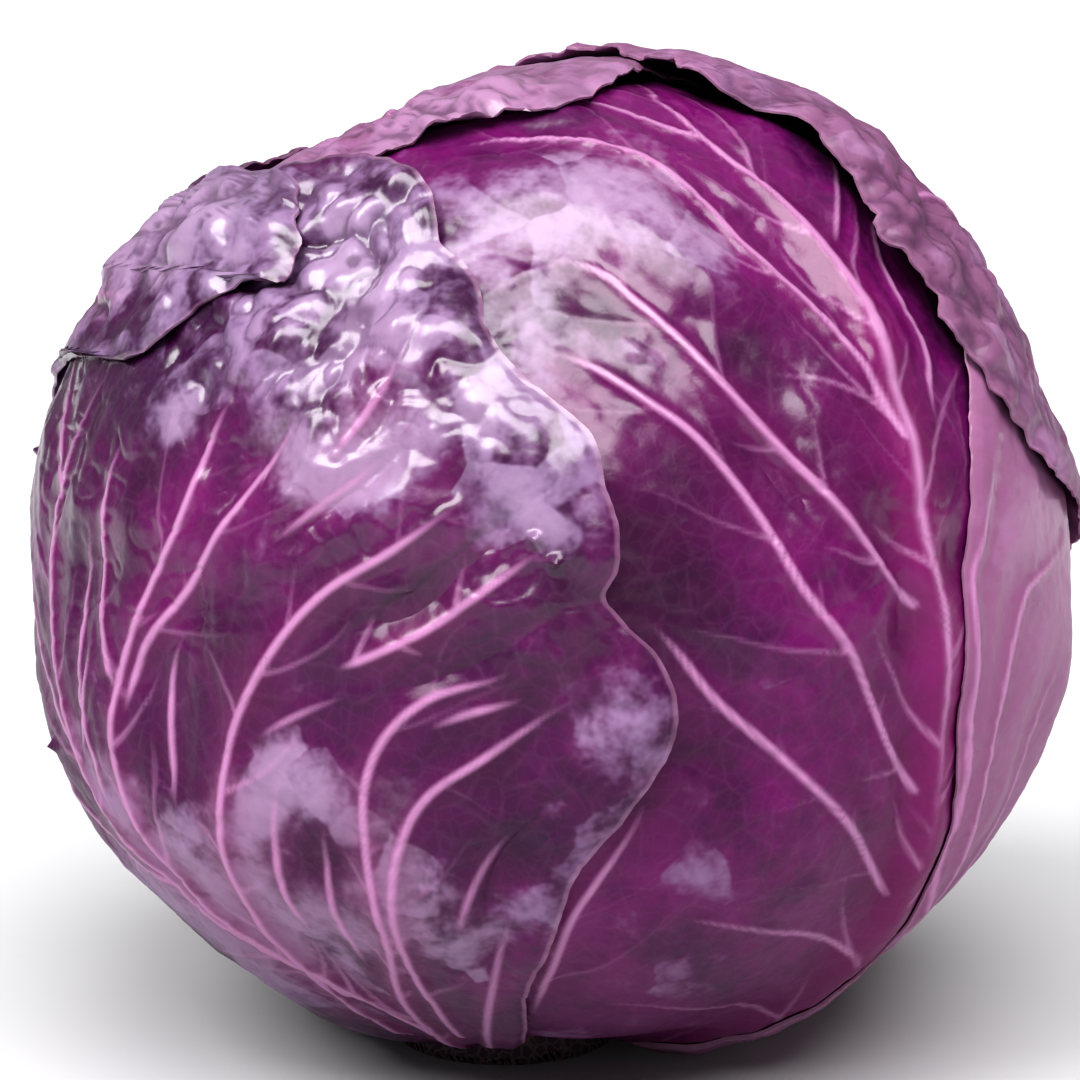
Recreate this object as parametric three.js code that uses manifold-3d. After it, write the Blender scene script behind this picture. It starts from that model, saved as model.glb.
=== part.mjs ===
// Red cabbage head: the cut stem, the tight heart of inner leaves, and the loose wrapper leaves.
// Millimetres, +Z up. The origin is the centre of the cut stem face, which rests on the table.
import * as THREE from 'three'
import Module from 'manifold-3d'
import { mergeVertices } from 'three/addons/utils/BufferGeometryUtils.js'

// Driving dimensions
const HEAD_CENTRE = new THREE.Vector3(7, 9, 80)
const STEM_RADIUS = 19
const STEM_EDGE_ROUND = 0.8
const STEM_HEIGHT = 20
const SOCKET_CLEARANCE = 0.4
const BLADE_THICKNESS = 0.9
const PETIOLE_THICKNESS = 2.4
const LAYER_GAP = 1.02
const HEART_GAP = 0.6
const FLOOR_CLEARANCE = 0.5

// Radius of the whole head against the angle up from its underside
const PROFILE_STEP = 30
const PROFILE_RADII = [79.5, 85.5, 88, 85.8, 83.8, 82.6, 81]

// Hollows and swellings of the outside: longitude, latitude, width in degrees, height
const SWELLINGS = [
  { lon: -90, lat: 62, width: 22, height: -4.5 },
  { lon: 90, lat: 57, width: 20, height: 2.5 }
]

// Angles in degrees around the stem, where a leaf starts, and how far a leaf lifts the ones over it.
// The leaves start outside the cone of the stem, whose point is the centre of the head.
const LEAF_START_ANGLE = 14.8
const PETIOLE_END_ANGLE = 50
const UNDERSIDE_ANGLE = 14
const UNDERSIDE_END_ANGLE = 58
const COVER_HOLD = 9
const COVER_FADE = 16
const LIFT_WIDTH = 14

const RING_SPACING = 9.6
const LEAF_WEDGES = 6
const OUTLINE_SAMPLES = 270
const DEPTH_SAMPLES = 8
const DEPTH_SPREAD = 24
const ROOM_BLEND = 3
const HEART_SEGMENTS = 30
const HEART_RINGS = 20
const STEM_SIDES = 32
const OFF_AXIS = 0.5

// Longitude 0 faces the viewer and +90 is to the right; latitude -90 is the stem, +90 the crown.
// Each leaf is attached at the stem on the side of its midrib. The order is from inside to outside.
const LEAVES = [
  {
    name: 'inner_wrap_front',
    centre: [0, -2],
    outline: [[0, -75], [42, -72], [58, -40], [64, 0], [50, 36], [0, 54], [-48, 36], [-62, 0], [-56, -40],
      [-42, -72]],
    colour: 0x7d2a6b
  },
  {
    name: 'inner_wrap_back',
    centre: [180, -2],
    outline: [[180, -75], [138, -72], [120, -40], [114, 0], [130, 40], [180, 58], [-132, 40], [-116, 0],
      [-122, -40], [-138, -72]],
    colour: 0x7d2a6b
  },
  {
    name: 'right_front_leaf',
    centre: [36, 4],
    outline: [[42, -75], [78, -74], [98, -42], [108, 0], [104, 40], [84, 66], [36, 80], [-32, 70], [-44, 44],
      [-38, 10], [-32, -30], [-6, -66], [12, -75]],
    colour: 0x8a2a72
  },
  {
    name: 'crown_leaf',
    centre: [-150, 12],
    outline: [[-150, -75], [-186, -73], [-208, -40], [-214, 0], [-214, 42], [-240, 66], [24, 74], [2, 62],
      [-12, 56], [-26, 51], [-40, 43], [-58, 38], [-84, 24], [-94, -6], [-100, -42], [-118, -73]],
    colour: 0x9a5a86
  },
  {
    name: 'right_side_leaf',
    centre: [98, -6],
    outline: [[84, -75], [114, -74], [138, -44], [150, -4], [138, 32], [98, 48], [62, 42], [52, 28], [47, 10],
      [46, -6], [49, -18], [55, -32], [54, -50], [50, -68], [58, -75]],
    colour: 0x9c4f86
  },
  {
    name: 'left_side_leaf',
    centre: [-112, -8],
    outline: [[-106, -75], [-72, -74], [-64, -44], [-64, -8], [-78, 20], [-112, 36], [-150, 22], [-164, -8],
      [-156, -46], [-138, -73]],
    colour: 0x8d6f92
  },
  {
    name: 'back_leaf',
    centre: [178, -4],
    outline: [[172, -75], [138, -73], [120, -42], [116, -2], [132, 34], [178, 50], [-136, 36], [-120, 0],
      [-128, -42], [-148, -73]],
    colour: 0x86307a
  },
  {
    name: 'ragged_right_leaf',
    centre: [112, 24],
    outline: [[128, -75], [104, -73], [96, -46], [94, -16], [86, 4], [74, 10], [63, 13], [54, 20], [48, 27],
      [46, 34], [43, 43], [44, 52], [36, 60], [22, 62], [12, 65], [0, 76], [-60, 80], [-130, 72],
      [180, 48], [168, 8], [164, -36], [154, -72]],
    lift: { bearingFrom: 80, bearingTo: 200, height: 3.6 },
    colour: 0x7f6088
  },
  {
    name: 'left_front_leaf',
    centre: [-44, -8],
    outline: [[-32, -75], [2, -73], [3, -56], [4, -40], [10, -24], [12, -12], [7, -2], [6, 8], [-3, 19],
      [-11, 30], [-20, 39], [-32, 44], [-50, 42], [-74, 36], [-98, 20], [-110, -6], [-106, -38],
      [-84, -66], [-64, -75]],
    lift: { bearingFrom: -40, bearingTo: 60, height: 2.6 },
    colour: 0x7a2a70
  },
  {
    name: 'upper_left_leaf',
    centre: [-124, 10],
    outline: [[-140, -75], [-116, -73], [-108, -46], [-102, -14], [-90, 10], [-76, 16], [-62, 17], [-50, 19],
      [-42, 25], [-34, 29], [-40, 38], [-60, 45], [-90, 58], [-140, 56], [-168, 28], [-174, -8], [-172, -46],
      [-164, -73]],
    lift: { bearingFrom: -20, bearingTo: 90, height: 2.2 },
    colour: 0x8a4a80
  }
]

const degrees = THREE.MathUtils.degToRad
const STEM_DIRECTION = HEAD_CENTRE.clone().negate().normalize()
const DOWN = new THREE.Vector3(0, 0, -1)
const LEAN = new THREE.Quaternion().setFromUnitVectors(DOWN, STEM_DIRECTION)

function uprightDirection (lon, lat) {
  const across = Math.cos(degrees(lat))
  return new THREE.Vector3(
    Math.sin(degrees(lon)) * across,
    -Math.cos(degrees(lon)) * across,
    Math.sin(degrees(lat))
  )
}

// The leaves grow around an axis that leans from the stem to the centre of the head
function leaningDirection ([lon, lat]) {
  return uprightDirection(lon, lat).applyQuaternion(LEAN)
}

function angleBetween (a, b) {
  return THREE.MathUtils.radToDeg(a.angleTo(b))
}

function profileRadius (direction) {
  const place = angleBetween(direction, DOWN) / PROFILE_STEP
  const last = PROFILE_RADII.length - 1
  const index = Math.min(Math.floor(place), last - 1)
  const t = place - index
  const before = PROFILE_RADII[Math.abs(index - 1)]
  const from = PROFILE_RADII[index]
  const to = PROFILE_RADII[index + 1]
  const after = PROFILE_RADII[index + 2 > last ? last - 1 : index + 2]
  const slopeFrom = (to - before) / 2
  const slopeTo = (after - from) / 2
  const cubic = 2 * from - 2 * to + slopeFrom + slopeTo
  const square = -3 * from + 3 * to - 2 * slopeFrom - slopeTo
  return from + t * (slopeFrom + t * (square + t * cubic))
}

function outerRadius (direction) {
  let radius = profileRadius(direction)
  for (const swelling of SWELLINGS) {
    const away = angleBetween(direction, uprightDirection(swelling.lon, swelling.lat))
    radius += swelling.height * Math.exp(-((away / swelling.width) ** 2))
  }
  const steepness = -direction.z
  const floorRadius = steepness > 0 ? (HEAD_CENTRE.z - FLOOR_CLEARANCE) / steepness : Infinity
  return Math.min(radius, floorRadius)
}

function stackDepth (leaves, direction) {
  return leaves.reduce((depth, leaf) => depth + layerRise(leaf, direction), LAYER_GAP)
}

// The heart is the outside less the mean depth of the leaves around that place. Close to the stem
// it leaves room for the full depth, so no leaf reaches the table before the cut stem does.
function heartRadius (leaves, direction) {
  const aside = new THREE.Vector3(direction.y, -direction.x, OFF_AXIS).cross(direction).normalize()
  aside.multiplyScalar(Math.tan(degrees(DEPTH_SPREAD)))
  const here = stackDepth(leaves, direction)
  let around = here
  for (let i = 0; i < DEPTH_SAMPLES; i++) {
    const turned = aside.clone().applyAxisAngle(direction, 2 * Math.PI * i / DEPTH_SAMPLES)
    around += stackDepth(leaves, turned.add(direction).normalize())
  }
  const mean = around / (DEPTH_SAMPLES + 1)
  const tilt = angleBetween(direction, DOWN)
  const away = THREE.MathUtils.smoothstep(tilt, UNDERSIDE_ANGLE, UNDERSIDE_END_ANGLE)
  const excess = here - mean
  const room = (excess + Math.hypot(excess, ROOM_BLEND)) / 2
  return outerRadius(direction) - mean - room * (1 - away)
}

// A leaf's outline is a smooth closed curve in a flat map around its centre: angle and bearing
function layOut (leaf) {
  const centre = leaningDirection(leaf.centre)
  const up = new THREE.Vector3(0, 0, 1).applyQuaternion(LEAN)
  const east = new THREE.Vector3().crossVectors(up, centre).normalize()
  const north = new THREE.Vector3().crossVectors(centre, east)
  const map = { centre, east, north }
  const points = leaf.outline.map((place) => {
    const { angle, bearing } = toMap(map, leaningDirection(place))
    return new THREE.Vector3(angle * Math.cos(bearing), angle * Math.sin(bearing), 0)
  })
  const curve = new THREE.CatmullRomCurve3(points, true, 'centripetal')
  const edge = curve.getSpacedPoints(OUTLINE_SAMPLES).slice(0, OUTLINE_SAMPLES).map((point) => {
    return { bearing: Math.atan2(point.y, point.x), reach: Math.hypot(point.x, point.y) }
  })
  edge.sort((a, b) => a.bearing - b.bearing)
  const rings = Math.ceil(Math.max(...edge.map((sample) => sample.reach)) / RING_SPACING)
  return { ...leaf, map, edge, rings }
}

function toMap (map, direction) {
  return {
    angle: angleBetween(direction, map.centre),
    bearing: Math.atan2(direction.dot(map.north), direction.dot(map.east))
  }
}

function fromMap (map, angle, bearing) {
  const aside = Math.sin(degrees(angle))
  return map.centre.clone().multiplyScalar(Math.cos(degrees(angle)))
    .addScaledVector(map.east, aside * Math.cos(bearing))
    .addScaledVector(map.north, aside * Math.sin(bearing))
}

function edgeReach (leaf, bearing) {
  const { edge } = leaf
  const found = edge.findIndex((sample) => sample.bearing > bearing)
  const next = found < 0 ? 0 : found
  const last = (next + edge.length - 1) % edge.length
  const turn = 2 * Math.PI
  const span = (edge[next].bearing - edge[last].bearing + turn) % turn
  const along = (bearing - edge[last].bearing + turn) % turn
  return THREE.MathUtils.lerp(edge[last].reach, edge[next].reach, span > 0 ? along / span : 0)
}

// 1 on a leaf and a little past its edge, fading to 0, so the leaves over it slope down again
function cover (leaf, direction) {
  const { angle, bearing } = toMap(leaf.map, direction)
  const past = angle - edgeReach(leaf, bearing)
  return 1 - THREE.MathUtils.smoothstep(past, COVER_HOLD, COVER_HOLD + COVER_FADE)
}

function thickness (direction) {
  const up = angleBetween(direction, STEM_DIRECTION)
  const petiole = 1 - THREE.MathUtils.smoothstep(up, LEAF_START_ANGLE, PETIOLE_END_ANGLE)
  return THREE.MathUtils.lerp(BLADE_THICKNESS, PETIOLE_THICKNESS, petiole)
}

// A free edge curls away from the head over a part of the outline
function lift (leaf, direction) {
  if (!leaf.lift) return 0
  const { angle, bearing } = toMap(leaf.map, direction)
  const turned = (THREE.MathUtils.radToDeg(bearing) - leaf.lift.bearingFrom + 360) % 360
  const along = turned / (leaf.lift.bearingTo - leaf.lift.bearingFrom)
  if (along > 1) return 0
  const inside = edgeReach(leaf, bearing) - angle
  const nearEdge = 1 - THREE.MathUtils.smoothstep(inside, 0, LIFT_WIDTH)
  return leaf.lift.height * nearEdge * Math.sin(Math.PI * along)
}

function layerRise (leaf, direction) {
  return (thickness(direction) + lift(leaf, direction) + LAYER_GAP) * cover(leaf, direction)
}

function innerRadius (leaves, index, direction) {
  const depth = stackDepth(leaves.slice(0, index), direction)
  return heartRadius(leaves, direction) + depth + lift(leaves[index], direction)
}

function clearOfStem (direction) {
  const angle = angleBetween(direction, STEM_DIRECTION)
  if (angle >= LEAF_START_ANGLE) return direction
  const axis = new THREE.Vector3().crossVectors(STEM_DIRECTION, direction).normalize()
  return STEM_DIRECTION.clone().applyAxisAngle(axis, degrees(LEAF_START_ANGLE))
}

// Rings of points around a leaf's centre, each with one more point in every wedge than the last
function ringPoint (ring, step) {
  if (ring === 0) return 0
  const earlier = LEAF_WEDGES * ring * (ring - 1) / 2
  return 1 + earlier + step % (LEAF_WEDGES * ring)
}

function leafGeometry (leaves, index) {
  const leaf = leaves[index]
  const inner = []
  const outer = []
  const addPoint = (angle, bearing) => {
    const direction = clearOfStem(fromMap(leaf.map, angle, bearing))
    const radius = innerRadius(leaves, index, direction)
    inner.push(HEAD_CENTRE.clone().addScaledVector(direction, radius))
    outer.push(HEAD_CENTRE.clone().addScaledVector(direction, radius + thickness(direction)))
  }
  addPoint(0, 0)
  for (let ring = 1; ring <= leaf.rings; ring++) {
    const count = LEAF_WEDGES * ring
    for (let step = 0; step < count; step++) {
      const { bearing, reach } = leaf.edge[Math.floor(OUTLINE_SAMPLES * step / count)]
      addPoint(reach * ring / leaf.rings, bearing)
    }
  }
  const under = inner.length
  const faces = []
  const addFace = (a, b, c) => faces.push(under + a, under + b, under + c, a, c, b)
  for (let ring = 1; ring <= leaf.rings; ring++) {
    for (let step = 0; step < LEAF_WEDGES * ring; step++) {
      const wedge = Math.floor(step / ring)
      const near = ringPoint(ring - 1, step - wedge)
      addFace(ringPoint(ring, step), ringPoint(ring, step + 1), near)
      if (step % ring < ring - 1) {
        addFace(ringPoint(ring, step + 1), ringPoint(ring - 1, step - wedge + 1), near)
      }
    }
  }
  for (let step = 0; step < LEAF_WEDGES * leaf.rings; step++) {
    const rim = ringPoint(leaf.rings, step)
    const nextRim = ringPoint(leaf.rings, step + 1)
    faces.push(rim, nextRim, under + nextRim, rim, under + nextRim, under + rim)
  }
  const geometry = new THREE.BufferGeometry().setFromPoints([...inner, ...outer])
  geometry.setIndex(faces)
  return geometry
}

// A turned profile that leans with the axis from the stem to the centre of the head
function leaningLathe (profile, sides) {
  const geometry = new THREE.LatheGeometry(profile.map(([x, y]) => new THREE.Vector2(x, y)), sides)
  geometry.rotateX(Math.PI / 2)
  const shear = new THREE.Matrix4().makeShear(
    0, 0, 0, 0, HEAD_CENTRE.x / HEAD_CENTRE.z, HEAD_CENTRE.y / HEAD_CENTRE.z
  )
  return geometry.applyMatrix4(shear)
}

// The core narrows as it grows up into the head
function stemProfile (bottom, top, clearance) {
  const radiusAt = (z) => STEM_RADIUS * (1 - z / HEAD_CENTRE.z) + clearance
  return [[0, bottom], [radiusAt(bottom) - STEM_EDGE_ROUND, bottom],
    [radiusAt(bottom), bottom + STEM_EDGE_ROUND], [radiusAt(top), top], [0, top]]
}

function heartGeometry (wasm, leaves) {
  const ball = new THREE.SphereGeometry(1, HEART_SEGMENTS, HEART_RINGS)
  const place = ball.attributes.position
  const direction = new THREE.Vector3()
  for (let i = 0; i < place.count; i++) {
    direction.fromBufferAttribute(place, i).normalize()
    const point = HEAD_CENTRE.clone().addScaledVector(direction, heartRadius(leaves, direction) - HEART_GAP)
    place.setXYZ(i, point.x, point.y, point.z)
  }
  const socketDepth = STEM_HEIGHT + SOCKET_CLEARANCE
  const socket = leaningLathe(stemProfile(-STEM_RADIUS, socketDepth, SOCKET_CLEARANCE), STEM_SIDES)
  const solid = toSolid(wasm, ball).subtract(toSolid(wasm, socket))
  return toGeometry(solid)
}

function toSolid (wasm, geometry) {
  const bare = geometry.clone()
  bare.deleteAttribute('normal')
  bare.deleteAttribute('uv')
  const merged = mergeVertices(bare)
  const corners = Array.from(merged.index.array)
  const triVerts = []
  for (let i = 0; i < corners.length; i += 3) {
    const [a, b, c] = corners.slice(i, i + 3)
    if (a !== b && b !== c && c !== a) triVerts.push(a, b, c)
  }
  return new wasm.Manifold(new wasm.Mesh({
    numProp: 3,
    vertProperties: new Float32Array(merged.attributes.position.array),
    triVerts: new Uint32Array(triVerts)
  }))
}

function toGeometry (solid) {
  const mesh = solid.getMesh()
  const geometry = new THREE.BufferGeometry()
  geometry.setAttribute('position', new THREE.BufferAttribute(new Float32Array(mesh.vertProperties), 3))
  geometry.setIndex(Array.from(mesh.triVerts))
  return geometry
}

function piece (name, geometry, colour, roughness) {
  const material = new THREE.MeshStandardMaterial({ color: colour, roughness, metalness: 0 })
  geometry.computeVertexNormals()
  const mesh = new THREE.Mesh(geometry, material)
  mesh.name = name
  return mesh
}

const wasm = await Module()
wasm.setup()

const group = new THREE.Group()
const stem = leaningLathe(stemProfile(0, STEM_HEIGHT, 0), STEM_SIDES)
group.add(piece('cut_stem', toGeometry(toSolid(wasm, stem)), 0xd8c8cf, 0.7))
const leaves = LEAVES.map(layOut)
group.add(piece('heart', heartGeometry(wasm, leaves), 0x6f2560, 0.45))
leaves.forEach((leaf, index) => {
  group.add(piece(leaf.name, leafGeometry(leaves, index), leaf.colour, 0.4))
})

export default group
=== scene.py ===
"""Red cabbage head: the cut stem, the tight heart and ten loose wrapper leaves around it.

The leaves are laid one over another from the inside out. Each is a thin closed sheet over a shared envelope,
with raised veins, swellings between them, crumples and a torn or curled margin.
"""

import itertools
import math
from typing import NamedTuple

import bpy
import numpy as np
from bpy.props import FloatProperty, FloatVectorProperty, PointerProperty, StringProperty
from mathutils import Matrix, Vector


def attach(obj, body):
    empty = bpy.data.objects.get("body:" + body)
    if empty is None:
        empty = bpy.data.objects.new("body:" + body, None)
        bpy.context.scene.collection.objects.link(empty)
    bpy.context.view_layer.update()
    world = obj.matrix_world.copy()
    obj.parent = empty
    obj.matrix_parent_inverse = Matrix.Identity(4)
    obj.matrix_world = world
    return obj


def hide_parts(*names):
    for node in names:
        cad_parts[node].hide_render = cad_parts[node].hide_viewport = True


bl_info = {
    "name": "Red Cabbage Head",
    "version": (1, 0, 0),
    "blender": (4, 5, 0),
    "location": "View3D > Sidebar > Cabbage",
    "description": "Models a red cabbage head leaf by leaf around its packed solids",
    "category": "Add Mesh",
}

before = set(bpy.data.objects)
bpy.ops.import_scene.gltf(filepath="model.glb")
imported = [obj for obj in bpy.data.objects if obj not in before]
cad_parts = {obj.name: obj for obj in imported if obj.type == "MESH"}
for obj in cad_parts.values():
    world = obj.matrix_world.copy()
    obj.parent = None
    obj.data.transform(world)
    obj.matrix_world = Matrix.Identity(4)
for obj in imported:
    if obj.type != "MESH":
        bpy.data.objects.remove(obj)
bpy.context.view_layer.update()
BODY = "root"

# The maths is in millimetres and degrees; meshes are in metres
MM = 0.001
HEAD_CENTRE = np.array([7.0, 9.0, 80.0])
MEAN_RADIUS = 84.0
DEGREE = MEAN_RADIUS * math.pi / 180

STEM_RADIUS = 19.0
STEM_HEIGHT = 20.0
PROFILE_RADII = [79.5, 85.5, 88.0, 85.8, 83.8, 82.6, 81.0]
PROFILE_STEP = 30.0
FLOOR_CLEARANCE = 0.5
BLADE = 0.9
PETIOLE = 2.4
LAYER_GAP = 1.02
HEART_GAP = 0.6
REST_GAP = 0.3
LEAF_START = 14.8
PETIOLE_END = 50.0
UNDERSIDE = (14.0, 58.0)
COVER_HOLD = 9.0
COVER_FADE = 16.0
LIFT_WIDTH = 14.0
LIFT_RIM = 0.45
LIFT_RIM_WIDTH = 5
DEPTH_SPREAD = 24.0
DEPTH_SAMPLES = 8
ROOM_BLEND = 3.0
FLOOR_GAP = 0.4
UNDER_MARGIN = 0.8
REST_BLEND = 0.4
RIM_BLADE = 0.4
RIM_WIDTH = 2.2
RIDGE_MARGIN = 3
WAVE_WIDTH = 9
WRINKLE_LINE = 0.22
CRUMPLE_FOLDS = 2.6
CRUMPLE_BASE = 0.9
HIDDEN_SWELL = 0.15
HIDDEN_RIDGE = 0.2
HIDDEN_FROM = (1.5, 7)
HEART_GRID, DEPTH_GRID, TOP_GRID = 2.0, 1.0, 0.5
HEART_CREASES = 22.0
CREASE_DEPTH = 1.2
SOCKET = (9.5, 17)
STEM_SIDES = 96
STEM_CUTS = 23
STEM_RINGS = (0.9, 1.4, 1.8, 2.6, 3.2, 3.2)
FIRST_SEED, SEED_STEP = 100, 10

# What each place of a leaf carries for its finish, from 0 to 1; bloom is also painted sheen, dark and crumple
# are painted shade
MARKS = ("vein", "rib", "rim", "near", "bloom_and_sheen", "dark", "crumple")

# Drawing of veins: widths and heights are parts of the vein's own
CANVAS_STEP = 0.3
MARGIN_STEPS = 3600
DRAW_REACH = 3.6
CREST = 0.6
FLANK = 5.0
THIN_VEIN = 1.2
RIDGE_WIDTH = 1.1
RIDGE_HEIGHT = 0.75
PALE_WIDTH = 0.38
THIN_PALE = 0.62
PALE_HEIGHT = 0.9
BROAD = (2.6, 5.0)
BROAD_LOSS = 0.7
RIB_WIDTH = 1.3
RIB_HEIGHT = 2.2
RIB_FROM = 0.25
NEAR_WIDTH = 4.0
NEAR_FROM = 0.55
END_FADE = 0.01
END_WIDTH = 0.3
TWIG_SPACING = (7.5, 4.5)
TWIG_LENGTH = (34, 13)
TWIG_STEP = 0.8
TWIG_WIDTH = (0.55, 1.1)
TWIG_HEIGHT = (0.18, 0.7)
TWIG_TURN = (38, 58)
TWIG_BEND = (0.4, 1.6)
TWIG_WANDER = 3.0
TWIG_MARGIN = 0.6
TWIG_FIRST = (0.4, 1.0)
TWIG_NEXT = (0.6, 1.3)
TWIG_RUN = (0.6, 1.0)
TWIG_SHARES = (0.5, 0.4)
TWIG_END = (0.7, 0.4)
TWIG_LEAST = 4
TWIG_CLEAR = 3.0
VEIN_MET = 0.25


class Swelling(NamedTuple):
    """A round hollow or swelling of the head: its place and width in degrees, its height in millimetres."""

    lon: float
    lat: float
    width: float
    height: float


HEAD_SWELLINGS = [Swelling(-90, 62, 22, -4.5), Swelling(90, 57, 20, 2.5)]


class Vein(NamedTuple):
    """A raised vein or a sunken fold: its path in degrees, its half width and its height at both ends in
    millimetres, and over what part of its length each end fades out."""

    path: list
    width: tuple = (1.7, 0.8)
    height: tuple = (1.3, 0.4)
    fade: tuple = (0.0, 0.3)


class Lift(NamedTuple):
    """A stretch of the margin that stands off the head, between two bearings from the leaf's centre."""

    start: float
    end: float
    height: float


class Leaf(NamedTuple):
    """One wrapper leaf. Longitude 0 faces the viewer and latitude -90 is the stem. Relief, bloom, dark and
    crumples are soft round marks:
    longitude, latitude, size in degrees and strength. Bloom marks are lilac wax and painted sheen; dark marks
    are sunken hollows painted with shade."""

    name: str
    centre: tuple
    outline: list
    veins: list = ()
    folds: list = ()
    relief: list = ()
    lift: Lift = None
    ragged: float = 0.25
    wave: float = 0.5
    cells: int = 120
    slot: str = "outer_leaf"
    finish: str = "outer"
    bloom_and_sheen: list = ()
    dark: list = ()
    crumples: list = ()
    twigs: int = 2


MIDRIB = [(44, -75), (50, -66), (53, -54), (53, -44), (51, -34), (49, -27), (46, -18), (44, -9), (42, 0),
          (39, 9), (39, 18), (38, 24), (38, 30), (36, 37), (31, 46), (25, 52), (18, 60), (8, 69)]

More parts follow.
